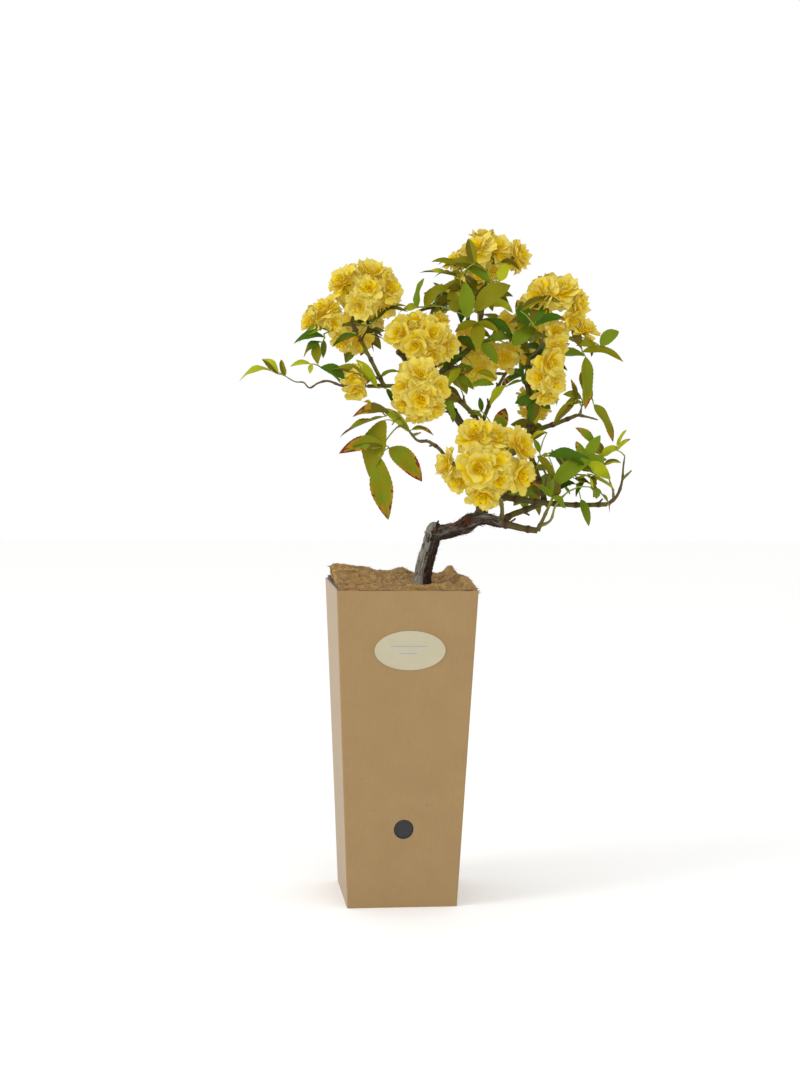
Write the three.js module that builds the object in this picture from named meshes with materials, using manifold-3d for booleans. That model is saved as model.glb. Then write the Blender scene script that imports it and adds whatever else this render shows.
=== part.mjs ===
// A climbing rose in its nursery pot: a bent old trunk with its boughs, masses of foliage with rosette
// blooms, and a tall tapered cardboard sleeve round a black pot with a root ball under a fibre mat.
// Millimetres, +Z up. The origin is the middle of the sleeve's flat underside, and the sleeve's labelled
// face looks along -Y.
import * as THREE from "three";
import { mergeVertices } from "three/addons/utils/BufferGeometryUtils.js";
import Module from "manifold-3d";

const wasm = await Module();
wasm.setup();

// ---------------------------------------------------------------- driving dimensions

const CLEAR = 0.3; // gap that touching solids keep

const SLEEVE = { height: 268, topWidth: 118, footWidth: 93, wall: 1.6, floor: 1.6 };
const SLEEVE_HOLE = { radius: 8.4, up: 67 };
const LABEL = { across: 2.5, up: 218.5, halfWidth: 29.5, halfHeight: 16.5, thick: 0.5 };
const INNER_POT = { wall: 1.2, rimUp: 267.6, tilt: 1.4 };
const ROOT_BALL = { top: 256 };
const MAT = { edge: 267, cells: 7, overhang: 5, trunkRoom: 0.8 };

const PLANT_TURN = THREE.MathUtils.degToRad(-6.9); // how the plant is turned in its pot
const LIMB_SIDES = 6;
const LIMB_STEP = 15; // length of one section of a limb
const TWIG_SIDES = 3;
const TWIG_STEP = 20;

const BLOOM = {
  radius: 14, base: -0.4, rim: 0.12, dome: 0.64, notch: 0.88, sides: 7, pedicel: 0.9, bud: 4.8,
};
// Proportions of a leaf: all but the stalk's radii and the tries are parts of its end leaflet's length.
const LEAF = {
  width: 0.58, widest: 0.42, notch: 0.08, thick: 0.06, fold: 0.07, arch: 0.14,
  stalk: 0.5, stalkRadius: 0.9, pull: 1.1, tries: 6,
};
const GOLDEN_ANGLE = Math.PI * (3 - Math.sqrt(5));

// ---------------------------------------------------------------- the plant's own plan
// Places are [across, back, up] in the plant's frame: a turn of PLANT_TURN about +Z carries it to the
// part's frame.

// Each limb is one tapering piece: the parent that carries it, its radius at both ends, and the places it
// passes.
const TRUNK_FOOT = {
  radius: [7.4, 7.1],
  base: [18.6, 0], // its middle on the root ball
  path: [[20.3, 0, 280], [25, -1, 299], [28.5, -1, 317]],
};
const TRUNK_FLARE = { growth: 0.08, height: 12 };
const TRUNK_ARM = {
  radius: [6.9, 4.2],
  path: [[27, -1, 312], [37, -3, 313.5], [45, -5, 315], [53, -7, 318.5], [61, -8, 323.5], [72, -6, 325],
    [87, -4, 321]],
};
const LIMBS = [
  { name: "bough_low_right", parent: "trunk", radius: [3.3, 2.5],
    path: [[84, -4, 322], [97, -8, 319], [108, -11, 317], [116, -13, 316]] },
  { name: "bough_right", parent: "trunk", radius: [2.6, 2.4],
    path: [[85, -3, 323], [97, 4, 329], [111, 8, 334], [122, 10, 340], [118, 14, 358], [111, 17, 380],
      [109, 18, 397]] },
  { name: "bough_right_upright", parent: "bough_right", radius: [2.5, 1.9],
    path: [[109, 18, 395], [110, 18, 416], [108, 17, 435], [107, 16, 450], [108, 14, 462]] },
  { name: "bough_right_side", parent: "bough_right", radius: [2.4, 1.6],
    path: [[109, 18, 393], [118, 13, 401], [133, 5, 407], [149, 0, 414]] },
  { name: "bough_main_left", parent: "trunk", radius: [4.4, 2.8],
    path: [[66, -6, 327], [74, 6, 342], [77, 15, 361], [68, 18, 381], [54, 18, 401], [40, 16, 420],
      [24, 13, 440], [6, 9, 458], [-5, 6, 467]] },
  { name: "bough_level_right", parent: "bough_main_left", radius: [2.9, 1.9],
    path: [[75, 12, 347], [90, 6, 343], [105, -1, 341], [125, -5, 339], [152, -9, 338], [175, -12, 339]] },
  { name: "bough_low_left", parent: "bough_main_left", radius: [2.5, 1.9],
    path: [[74, 16, 368], [70, 12, 391], [64, 6, 409], [53, 2, 421], [37, -2, 434], [22, -5, 439],
      [2, -6, 437], [-30, -6, 436]] },
  { name: "bough_left_rising", parent: "bough_low_left", radius: [2.3, 1.8],
    path: [[-15, -6, 436], [-27, -4, 459], [-39, 1, 482]] },
  { name: "bough_top", parent: "bough_main_left", radius: [2.7, 2.2],
    path: [[24, 13, 440], [38, 18, 453], [51, 18, 464], [60, 18, 473], [66, 18, 492]] },
  { name: "bough_centre", parent: "bough_low_left", radius: [1.9, 1.4],
    path: [[67, 9, 401], [72, 20, 414], [79, 28, 430], [87, 32, 445]] },
  { name: "bough_front_low", parent: "bough_main_left", radius: [1.9, 1.4],
    path: [[76, 14, 362], [60, -6, 366], [46, -16, 371], [38, -22, 377], [31, -26, 385], [22, -28, 391]] },
  { name: "bough_back_left", parent: "bough_main_left", radius: [2.2, 1.6],
    path: [[54, 18, 401], [47, 36, 412], [40, 58, 430], [31, 76, 450]] },
  { name: "bough_back_right", parent: "bough_right_upright", radius: [2.1, 1.5],
    path: [[110, 18, 412], [112, 38, 420], [116, 58, 436], [118, 74, 454]] },
  { name: "bough_back_top", parent: "bough_top", radius: [1.8, 1.4],
    path: [[58, 18, 471], [57, 36, 480], [56, 52, 490], [58, 64, 501]] },
];

// A mass is one stem and the shoots off it. A shoot's leaves go round it by the golden angle and lean the
// way that aim says; tip is true where the last leaf carries the shoot on. Its blooms stand in a dome round
// face, reach from the end.
const shoot = (path, extra = {}) => ({
  path, radius: [1.3, 0.9],
  leaves: 0, size: 26, leaflets: 3, spread: 1.2, aim: [0, 0, 0.2], droop: 0.25, tip: false,
  blooms: 0, face: [0, 0, 1], reach: 14, cap: 85, twist: 0, bud: false,
  ...extra,
});
const MASSES = [
  { name: "foliage_far_left", parent: "bough_low_left", shoots: [
    shoot([[-30, -6, 436], [-49, -8, 437], [-65, -10, 438], [-78, -10, 435], [-88, -11, 438],
      [-95, -12, 441]],
      { radius: [1.7, 0.8], leaves: 1, size: 24, leaflets: 5, tip: true, aim: [0, 0, -0.1], droop: 0.12 }),
    shoot([[-49, -8, 437], [-59, -8, 446], [-68, -8, 451]], { leaves: 2, size: 17, tip: true, droop: 0.1 }),
    shoot([[-40, -7, 437], [-45, -16, 443]], { leaves: 2, size: 22, aim: [-0.2, -0.5, 0.1] }),
    shoot([[-40, -7, 437], [-40, -14, 447]], { blooms: 1, face: [-0.2, -0.5, -0.85], reach: 6 }),
    shoot([[-32, -6, 436], [-24, -13, 444]], { leaves: 2, size: 24, aim: [-0.5, -0.3, 0.7] }),
  ] },
  { name: "foliage_upper_left", parent: "bough_left_rising", shoots: [
    shoot([[-39, 1, 482], [-43, 2, 491], [-36, 0, 505]],
      { radius: [1.7, 1.2], leaves: 2, size: 22, blooms: 8, face: [0.25, -0.3, 0.9], reach: 28, cap: 88 }),
    shoot([[-42, 2, 488], [-55, -6, 488], [-63, -8, 489]],
      { blooms: 3, face: [-0.8, -0.3, 0.5], reach: 11, cap: 75 }),
    shoot([[-40, 2, 485], [-42, 12, 480], [-41, 17, 476]],
      { blooms: 2, face: [0.2, 0.7, -0.6], reach: 10 }),
    shoot([[-43, 2, 490], [-58, -14, 483], [-66, -18, 479]],
      { leaves: 4, size: 23, aim: [-0.5, -0.1, -0.6], droop: 0.5, tip: true }),
    shoot([[-42, 2, 490], [-29, -8, 487], [-21, -12, 493]],
      { leaves: 3, size: 26, aim: [0.7, -0.2, 0.6], tip: true }),
  ] },
  { name: "foliage_drooping_left", parent: "bough_front_low", shoots: [
    shoot([[22, -28, 391], [14, -29, 391], [8, -31, 397], [0, -32, 408], [-8, -34, 416]],
      { leaves: 3, size: 32, aim: [-0.9, -0.1, -0.1], droop: 0.5, tip: true }),
    shoot([[4, -31, 402], [-2, -35, 403], [-7, -37, 399]],
      { radius: [1.1, 0.9], leaves: 1, size: 53, tip: true, spread: 1.32, aim: [0.4, -0.1, -2.4],
        droop: 0.1 }),
    shoot([[-1, -32, 410], [-5, -40, 408], [-8, -44, 404]],
      { radius: [1, 0.8], leaves: 1, size: 28, tip: true, aim: [0, -0.3, -1.8], droop: 0.1 }),
    shoot([[9, -31, 395], [16, -37, 398]], { leaves: 1, size: 17, tip: true, droop: 0.1 }),
  ] },
  { name: "foliage_front", parent: "bough_low_left", shoots: [
    shoot([[32, -3, 436], [27, -14, 429], [18, -23, 430]],
      { leaves: 2, size: 22, aim: [0.3, 0.1, -0.8], blooms: 6, face: [-0.1, -0.9, 0.35], reach: 17,
        cap: 95 }),
  ] },
  { name: "foliage_middle_left", parent: "bough_main_left", shoots: [
    shoot([[6, 9, 458], [12, 3, 466], [16, 0, 470]],
      { leaves: 2, size: 28, aim: [0, 0.3, 0.9], blooms: 6, face: [0.1, -0.7, 0.7], reach: 20, cap: 90,
        twist: 1 }),
  ] },
  { name: "foliage_top", parent: "bough_top", shoots: [
    shoot([[66, 18, 492], [69, 16, 511], [72, 14, 540]],
      { radius: [1.9, 1.2], leaves: 4, size: 27, blooms: 6, face: [0.3, -0.25, 0.95], reach: 20, cap: 92 }),
    shoot([[68, 17, 506], [53, 8, 514], [42, 4, 522]],
      { leaves: 4, size: 27, aim: [-0.6, -0.2, 0.2], tip: true }),
    shoot([[69, 16, 513], [57, 18, 525], [52, 19, 532]], { blooms: 1, face: [-0.3, -0.3, 0.9], reach: 9 }),
    shoot([[70, 16, 514], [79, 10, 521]], { leaves: 2, size: 26, aim: [0.6, -0.2, 0.5], tip: true }),
    shoot([[67, 17, 499], [60, 2, 500]],
      { leaves: 4, size: 30, aim: [0.1, -0.5, 0.3], droop: 0.3, tip: true }),
  ] },
  { name: "foliage_centre", parent: "bough_centre", shoots: [
    shoot([[87, 32, 445], [92, 34, 453], [95, 33, 464]],
      { leaves: 2, size: 22, aim: [0.3, -0.6, 0.3], bud: true }),
    shoot([[89, 33, 448], [76, 38, 450], [69, 39, 456]],
      { leaves: 2, size: 24, blooms: 5, face: [-0.1, -0.5, 0.6], reach: 17, cap: 100 }),
    shoot([[93, 34, 457], [94, 38, 473], [93, 40, 481]],
      { leaves: 4, size: 24, aim: [0.5, -0.4, 0.5], blooms: 2, face: [0.1, -0.4, 0.9], reach: 9 }),
    shoot([[78, 38, 448], [62, 44, 469], [57, 46, 478]],
      { leaves: 2, size: 24, aim: [0, -0.5, 0.2], blooms: 1, face: [-0.4, -0.2, 0.8], reach: 8 }),
  ] },
  { name: "foliage_low_front", parent: "trunk", shoots: [
    shoot([[86, -5, 323], [85, -16, 338], [78, -26, 352]],
      { radius: [2, 1.4], leaves: 2, size: 20, aim: [0.6, 0.1, 0.2], blooms: 3, face: [0, -0.8, -0.5],
        reach: 18 }),
    shoot([[84, -18, 342], [64, -24, 354], [51, -28, 362]],
      { radius: [1.2, 1], blooms: 2, face: [-0.6, -0.7, 0.1], reach: 11, twist: 1.5 }),
    shoot([[80, -24, 350], [76, -26, 370], [75, -26, 384]],
      { radius: [1.2, 1], blooms: 4, face: [-0.1, -0.7, 0.7], reach: 16, cap: 80 }),
    shoot([[83, -20, 345], [95, -24, 358], [99, -25, 366]],
      { radius: [1.2, 1], blooms: 3, face: [0.3, -0.8, 0.3], reach: 12, cap: 80 }),
  ] },
  { name: "foliage_right_top", parent: "bough_right_upright", shoots: [
    shoot([[108, 14, 462], [116, 8, 470], [120, 4, 485], [123, 2, 503]],
      { leaves: 2, size: 24, blooms: 6, face: [0.1, -0.3, 0.95], reach: 20, cap: 86, twist: 2 }),
    shoot([[124, 3, 488], [143, -4, 479], [150, -6, 483]],
      { leaves: 1, size: 20, blooms: 1, face: [0.6, -0.2, 0.75], reach: 7 }),
    shoot([[121, 3, 489], [111, 0, 494], [104, -2, 496]],
      { leaves: 3, size: 22, aim: [-0.4, -0.3, 0.4], tip: true }),
    shoot([[120, 4, 480], [136, 0, 480], [148, -6, 475], [157, -9, 476]],
      { leaves: 4, size: 30, aim: [0.6, -0.1, -0.1], droop: 0.3, tip: true }),
    shoot([[148, -6, 475], [151, -9, 469]],
      { leaves: 1, size: 31, tip: true, spread: 0.7, aim: [-0.4, 0.2, -1.8] }),
  ] },
  { name: "foliage_right_column", parent: "bough_right_upright", shoots: [
    shoot([[108, 17, 439], [114, 10, 450], [118, 5, 464]],
      { blooms: 3, face: [0.2, -0.7, 0.6], reach: 12, cap: 80 }),
    shoot([[112, 13, 443], [115, 6, 437]],
      { leaves: 1, size: 22, aim: [0.6, 0.3, -0.2], blooms: 3, face: [0.5, -0.6, -0.3], reach: 14,
        cap: 75 }),
  ] },
  { name: "foliage_right_behind", parent: "bough_right_upright", shoots: [
    shoot([[110, 18, 418], [117, 27, 419]],
      { leaves: 1, size: 22, aim: [-0.6, 0.1, -0.2], blooms: 2, face: [0.2, 0.6, -0.6], reach: 10 }),
  ] },
  { name: "foliage_right_side", parent: "bough_right_side", shoots: [
    shoot([[149, 0, 414], [159, -3, 412], [166, -4, 410]],
      { leaves: 3, size: 30, aim: [0.4, -0.1, 0.1], droop: 0.35 }),
    shoot([[151, -1, 414], [152, -5, 421]], { leaves: 2, size: 24, aim: [0.6, -0.1, 0.5], tip: true }),
  ] },
  { name: "foliage_right_low", parent: "bough_low_right", shoots: [
    shoot([[116, -13, 316], [123, -18, 333], [128, -20, 345], [131, -22, 356]],
      { radius: [1.9, 1], leaves: 6, size: 30, aim: [0.8, -0.2, 0.2], droop: 0.2, tip: true }),
    shoot([[118, -15, 320], [126, -18, 325], [130, -24, 338], [139, -26, 349], [148, -28, 354]],
      { leaves: 1, size: 24, aim: [0.2, -0.1, -0.2], droop: 0.7, tip: true }),
    shoot([[131, -22, 354], [143, -22, 362], [152, -20, 370]], { leaves: 4, size: 25, aim: [0.6, 0, 0.1] }),
  ] },
  { name: "foliage_right_inner", parent: "bough_right", shoots: [
    shoot([[121, 10, 342], [124, 5, 361], [120, 2, 371], [122, 0, 380]],
      { leaves: 4, size: 22, aim: [0.2, -0.2, 0.3], tip: true }),
  ] },
  { name: "foliage_right_tip", parent: "bough_level_right", shoots: [
    shoot([[175, -12, 339], [182, -14, 346], [186, -16, 358], [187, -16, 372], [188, -16, 380]],
      { radius: [1.6, 0.9], leaves: 2, size: 17, aim: [-1, -0.1, 0.4] }),
    shoot([[187, -16, 361], [194, -16, 368]], { radius: [1.2, 1.1] }),
    shoot([[180, -13, 343], [179, -14, 350], [175, -15, 361]],
      { radius: [1.1, 0.8], leaves: 1, size: 17, tip: true }),
  ] },
  { name: "foliage_back_left", parent: "bough_back_left", shoots: [
    shoot([[31, 76, 450], [26, 84, 462], [23, 86, 470]],
      { leaves: 3, size: 27, aim: [0, 0.4, 0], blooms: 4, face: [-0.1, 0.5, 0.8], reach: 16 }),
    shoot([[29, 80, 455], [42, 90, 460], [50, 98, 466]],
      { leaves: 3, size: 27, aim: [0.2, 0.5, -0.2], tip: true }),
    shoot([[28, 81, 457], [12, 86, 452], [2, 90, 452]],
      { leaves: 2, size: 26, blooms: 2, face: [-0.6, 0.7, 0.1], reach: 12 }),
  ] },
  { name: "foliage_back_right", parent: "bough_back_right", shoots: [
    shoot([[118, 74, 454], [119, 79, 472], [114, 82, 486]],
      { leaves: 3, size: 26, aim: [0, 0.4, 0], blooms: 4, face: [0.1, 0.5, 0.85], reach: 15 }),
    shoot([[118, 75, 459], [127, 86, 467], [131, 94, 471]],
      { leaves: 3, size: 26, aim: [-0.2, 0.5, 0.2], tip: true }),
    shoot([[118, 75, 457], [121, 88, 446], [123, 95, 438]],
      { leaves: 2, size: 26, blooms: 2, face: [-0.1, 0.8, -0.3], reach: 12 }),
  ] },
  { name: "foliage_back_top", parent: "bough_back_top", shoots: [
    shoot([[58, 64, 501], [60, 70, 514], [62, 72, 522]],
      { leaves: 3, size: 26, aim: [0, 0.3, 0], blooms: 3, face: [0, 0.5, 0.85], reach: 13 }),
    shoot([[59, 66, 505], [45, 78, 506], [36, 85, 504]],
      { leaves: 3, size: 26, aim: [-0.3, 0.4, 0], tip: true }),
  ] },
  { name: "foliage_back_upper_left", parent: "bough_left_rising", shoots: [
    shoot([[-34, -1, 472], [-38, 22, 478], [-34, 40, 488]],
      { leaves: 4, size: 26, aim: [0, 0.3, 0], blooms: 3, face: [0, 0.55, 0.8], reach: 13 }),
  ] },
  { name: "foliage_back_low", parent: "bough_main_left", shoots: [
    shoot([[77, 15, 361], [80, 38, 366], [78, 54, 376]],
      { leaves: 3, size: 27, aim: [0, 0.3, 0], blooms: 3, face: [0, 0.8, 0.5], reach: 14 }),
    shoot([[80, 36, 366], [96, 50, 360], [108, 58, 358]],
      { leaves: 3, size: 27, aim: [0.4, 0.4, 0], tip: true }),
  ] },
];

// ---------------------------------------------------------------- helpers

const vec = ([x, y, z]) => new THREE.Vector3(x, y, z);
const mix = THREE.MathUtils.lerp;

// The three.js geometry as a manifold-3d solid.
function solidOf(geometry) {
  const bare = geometry.clone();
  bare.deleteAttribute("normal");
  bare.deleteAttribute("uv");
  const merged = mergeVertices(bare, 1e-3);
  return new wasm.Manifold(
    new wasm.Mesh({
      numProp: 3,
      vertProperties: new Float32Array(merged.attributes.position.array),
      triVerts: new Uint32Array(merged.index.array),
    }),
  );
}

// The manifold-3d solid as a three.js geometry.
function geometryOf(solid) {
  const made = solid.getMesh();
  const places = new Float32Array(made.numVert * 3);
  for (let i = 0; i < made.numVert; i++)
    places.set(made.vertProperties.subarray(i * made.numProp, i * made.numProp + 3), i * 3);
  const geometry = new THREE.BufferGeometry();
  geometry.setAttribute("position", new THREE.BufferAttribute(places, 3));
  geometry.setIndex(new THREE.BufferAttribute(made.triVerts, 1));
  return geometry;
}

// Only the largest body of a solid, so that a loose scrap is dropped.
function largestBody(solid) {
  return solid.decompose().sort((a, b) => b.volume() - a.volume())[0];
}

// A small generator of numbers from 0 to 1, the same on every run.
function seeded(seed) {
  let state = seed;
  return () => {
    state = (state * 48271) % 2147483647;
    return state / 2147483647;
  };
}

// Moves every vertex of a geometry to where place(vertex) says.
function reshape(geometry, place) {
  const position = geometry.attributes.position;
  const vertex = new THREE.Vector3();
  for (let i = 0; i < position.count; i++) {
    vertex.fromBufferAttribute(position, i);
    place(vertex);
    position.setXYZ(i, vertex.x, vertex.y, vertex.z);
  }
  return geometry;
}

// A tapering round limb along a smooth curve: a cylinder whose rings are carried to their places on it.
function limbGeometry(path, radiusAt, sides, step) {
  const curve = new THREE.CatmullRomCurve3(path.map(vec));
  const sections = Math.max(path.length - 1, Math.round(curve.getLength() / step));
  const frames = curve.computeFrenetFrames(sections);
  const cylinder = new THREE.CylinderGeometry(1, 1, 1, sides, sections);
  return reshape(cylinder, (v) => {
    const ring = Math.round((v.y + 0.5) * sections);
    const along = ring / sections;
    const radius = radiusAt(along);
    const centre = curve.getPointAt(along);
    centre.addScaledVector(frames.normals[ring], v.x * radius);
    centre.addScaledVector(frames.binormals[ring], -v.z * radius);
    v.copy(centre);
  });
}

const taper = ([start, end], extra = 0) => (along) => mix(start, end, along) + extra;

// A square frustum standing on z = low.
function frustum(footWidth, topWidth, low, high) {
  const box = new THREE.BoxGeometry(1, 1, 1);
  return reshape(box, (v) => {
    const width = mix(footWidth, topWidth, v.z + 0.5);
    v.set(v.x * width, v.y * width, mix(low, high, v.z + 0.5));
  });
}

// The sleeve's outer width at a height.
const sleeveWidth = (z) => mix(SLEEVE.footWidth, SLEEVE.topWidth, z / SLEEVE.height);

// ---------------------------------------------------------------- pot, root ball, mat and label

function sleeveSolid() {
  const outer = solidOf(frustum(SLEEVE.footWidth, SLEEVE.topWidth, 0, SLEEVE.height));
  const hollow = solidOf(
    frustum(
      sleeveWidth(SLEEVE.floor) - 2 * SLEEVE.wall,
      sleeveWidth(SLEEVE.height + 1) - 2 * SLEEVE.wall,
      SLEEVE.floor,
      SLEEVE.height + 1,
    ),
  );
  const { radius, up } = SLEEVE_HOLE;
  const drill = new THREE.CylinderGeometry(radius, radius, SLEEVE.footWidth / 2, 24);
  drill.translate(0, -SLEEVE.footWidth / 2 - 1, up);
  return outer.subtract(hollow).subtract(solidOf(drill));
}

// Outer width of the black pot, which stands inside the sleeve.
const innerPotWidth = (z) => sleeveWidth(z) - 2 * (SLEEVE.wall + CLEAR);

function innerPotSolid() {
  const floor = SLEEVE.floor + CLEAR;
  const outer = frustum(innerPotWidth(floor), innerPotWidth(INNER_POT.rimUp), floor, INNER_POT.rimUp);
  const rimmed = reshape(outer, (v) => {
    if (v.z > SLEEVE.height / 2) v.z += INNER_POT.tilt * (Math.sign(v.y) - Math.sign(v.x));
  });
  const bottom = floor + INNER_POT.wall;
  const top = SLEEVE.height + 10;
  const inside = (z) => innerPotWidth(z) - 2 * INNER_POT.wall;
  return solidOf(rimmed).subtract(solidOf(frustum(inside(bottom), inside(top), bottom, top)));
}

function rootBallSolid() {
  const low = SLEEVE.floor + INNER_POT.wall + 2 * CLEAR;
  const width = (z) => innerPotWidth(z) - 2 * (INNER_POT.wall + CLEAR);
  return solidOf(frustum(width(low), width(ROOT_BALL.top), low, ROOT_BALL.top));
}

// The fibre mat's upper surface: nearly level round the trunk, turned up along the back wall, with soft
// folds.
function matTop(x, y) {
  const half = SLEEVE.topWidth / 2;
  const back = THREE.MathUtils.smoothstep(y, -half * 0.1, half * 0.9);
  const leftCorner = Math.max(0, -x / half) * back;
  const rightCorner = Math.exp(-(((x - 44) / 12) ** 2)) * back;
  const middleFold = Math.exp(-(((x + 12) / 9) ** 2)) * back;
  const lumps = 1.2 * Math.sin(x / 9 + 1) * Math.cos(y / 11);
  return MAT.edge + 1.5 + 8 * back + 4 * leftCorner + 4 * rightCorner + 2.5 * middleFold + lumps;
}

// The mat fills the pot's mouth. Above the rim its right-hand end runs on over the sleeve's edge as a flap.
function matSolid(trunk) {
  const width = innerPotWidth(ROOT_BALL.top) - 2 * INNER_POT.wall - 2 * CLEAR;
  const clearRim = INNER_POT.rimUp + 2 * INNER_POT.tilt + CLEAR;
  const low = ROOT_BALL.top + CLEAR;
  const pad = reshape(new THREE.BoxGeometry(1, 1, 1, MAT.cells, MAT.cells, 3), (v) => {
    const level = Math.round((v.z + 0.5) * 3);
    const atFlap = v.x > 0.49;
    const reach = THREE.MathUtils.smoothstep(v.y, -0.5, 0) * THREE.MathUtils.smoothstep(0.5 - v.y, 0, 0.15);
    const squeeze = level === 0 ? (width - 4) / width : 1;
    const x = v.x * width * squeeze + (atFlap && level > 1 ? MAT.overhang * reach : 0);
    const y = v.y * width * squeeze;
    const top = atFlap ? Math.max(matTop(x, y) - 2, clearRim + 1.5) : matTop(x, y);
    const between = atFlap ? clearRim : mix(low, top, level / 3);
    v.set(x, y, level === 0 ? low : level === 3 ? top : between);
  });
  return solidOf(pad).subtract(trunk);
}

function labelGeometry() {
  const oval = new THREE.Shape();
  oval.absellipse(0, 0, LABEL.halfWidth, LABEL.halfHeight, 0, 2 * Math.PI);
  return new THREE.ExtrudeGeometry(oval, { depth: LABEL.thick, bevelEnabled: false, curveSegments: 14 });
}

// ---------------------------------------------------------------- trunk and boughs

function trunkSolid(extra = 0) {
  const foot = [[...TRUNK_FOOT.base, ROOT_BALL.top + CLEAR], ...TRUNK_FOOT.path];
  const length = foot.at(-1)[2] - foot[0][2];
  const flared = (along) => {
    const above = along * length - (MAT.edge - ROOT_BALL.top);
    const flare = TRUNK_FLARE.growth * Math.exp(-Math.max(0, above) / TRUNK_FLARE.height);
    return taper(TRUNK_FOOT.radius, extra)(along) * (1 + flare);
  };
  const upright = solidOf(limbGeometry(foot, flared, LIMB_SIDES + 3, 8));
  const arm = solidOf(limbGeometry(TRUNK_ARM.path, taper(TRUNK_ARM.radius, extra), LIMB_SIDES + 2, 9));
  const below = new THREE.BoxGeometry(60, 60, 20).translate(20, 0, foot[0][2] - 10);
  return upright.add(arm).subtract(solidOf(below));
}

function limbSolid(limb, extra = 0) {
  return solidOf(limbGeometry(limb.path, taper(limb.radius, extra), LIMB_SIDES, LIMB_STEP));
}

// Every limb, cut 0.3 mm clear of the parent that it grows from and of the limbs made before it.
function growLimbs() {
  const solids = new Map([["trunk", trunkSolid()]]);
  const grown = new Map([["trunk", trunkSolid(CLEAR)]]);
  for (const limb of LIMBS) {
    let solid = limbSolid(limb);
    for (const other of grown.values()) solid = solid.subtract(other);
    solids.set(limb.name, largestBody(solid));
    grown.set(limb.name, limbSolid(limb, CLEAR));
  }
  return { solids, grown };
}

// ---------------------------------------------------------------- leaves and blooms

const WORLD_UP = new THREE.Vector3(0, 0, 1);

// A frame whose X runs along heading and whose Z is as near to up as it can be, rolled by roll.
function headingFrame(origin, heading, roll) {
  const x = heading.clone().normalize();
  const y = new THREE.Vector3().crossVectors(WORLD_UP, x);
  if (y.length() < 1e-2) y.set(0, 1, 0);
  y.normalize();
  const z = new THREE.Vector3().crossVectors(x, y);
  const frame = new THREE.Matrix4().makeBasis(x, y, z);
  frame.multiply(new THREE.Matrix4().makeRotationX(roll));
  return frame.setPosition(origin);
}

// Leaflets that spread from one hub, as a thin lens whose rim follows each leaflet's outline in turn: to
// its widest place, its tip, its widest place, then the notch beside it. Each is folded up along its midrib
// and arches down.
function bladeGeometry(leaflets, size) {
  const count = leaflets.length;
  const rim = leaflets.flatMap(({ angle, length }, i) => {
    const next = i + 1 < count ? leaflets[i + 1].angle : leaflets[0].angle + 2 * Math.PI;
    const half = Math.atan2(LEAF.width / 2, LEAF.widest);
    const wide = Math.hypot(LEAF.width / 2, LEAF.widest) * length;
    return [
      { angle: angle - half, out: wide, lift: LEAF.fold },
      { angle, out: length, lift: -LEAF.arch * length },
      { angle: angle + half, out: wide, lift: LEAF.fold },
      { angle: (angle + next) / 2, out: LEAF.notch, lift: 0 },
    ];
  });
  const lens = new THREE.SphereGeometry(1, rim.length, 2);
  return reshape(lens, (v) => {
    if (Math.abs(v.y) > 0.5) return v.set(0, 0, (v.y * LEAF.thick * size) / 2);
    const turn = Math.atan2(v.z, -v.x) / (2 * Math.PI);
    const { angle, out, lift } = rim[Math.round((turn + 1) * rim.length) % rim.length];
    return v.set(out * Math.cos(angle), out * Math.sin(angle), lift).multiplyScalar(size);
  });
}

// The end of a compound leaf, one leaflet ahead and one to each side, and the pair of a longer leaf.
function endBlade(size, spread, random) {
  const side = () => spread * mix(0.88, 1.12, random());
  const length = () => mix(0.7, 0.86, random());
  return bladeGeometry(
    [{ angle: -side(), length: length() }, { angle: 0, length: 1 }, { angle: side(), length: length() }],
    size,
  );
}

function pairBlade(size, random) {
  const length = () => mix(0.6, 0.76, random());
  return bladeGeometry([{ angle: -1.3, length: length() }, { angle: 1.3, length: length() }], size);
}

// One bloom on its pedicel's end: a lobed cup with a domed face, its axis along +Z.
function bloomGeometry(radius) {
  const profile = [[0, BLOOM.base], [1, BLOOM.rim], [0.6, BLOOM.dome], [0, BLOOM.dome - 0.08]];
  const points = profile.map(([out, up]) => new THREE.Vector2(out * radius, up * radius));
  const cup = new THREE.LatheGeometry(points, BLOOM.sides);
  return reshape(cup, (v) => {
    const petal = Math.round((Math.atan2(v.z, v.x) / (2 * Math.PI)) * BLOOM.sides);
    const pull = Math.abs(petal) % 2 === 1 ? BLOOM.notch : 1;
    v.set(v.x * pull, -v.z * pull, v.y);
  });
}

const budGeometry = (radius) =>
  new THREE.SphereGeometry(radius, 5, 4).rotateX(Math.PI / 2).scale(1, 1, 1.25);

const twigGeometry = (path, radius) => limbGeometry(path, taper(radius), TWIG_SIDES, TWIG_STEP);

// A stalk or pedicel as a three-sided spindle, thickest near its root, with both its points sunk in what it
// joins.
function stalkGeometry(root, end, radius) {
  const along = end.clone().sub(root);
  const frame = headingFrame(root, along, 0);
  const spindle = new THREE.SphereGeometry(1, TWIG_SIDES, 2);
  return reshape(spindle, (v) => {
    const reach = [-0.08, 0.2, 1.04][Math.round(1 - v.y)];
    v.set(reach * along.length(), v.x * radius, v.z * radius);
  }).applyMatrix4(frame);
}

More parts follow.
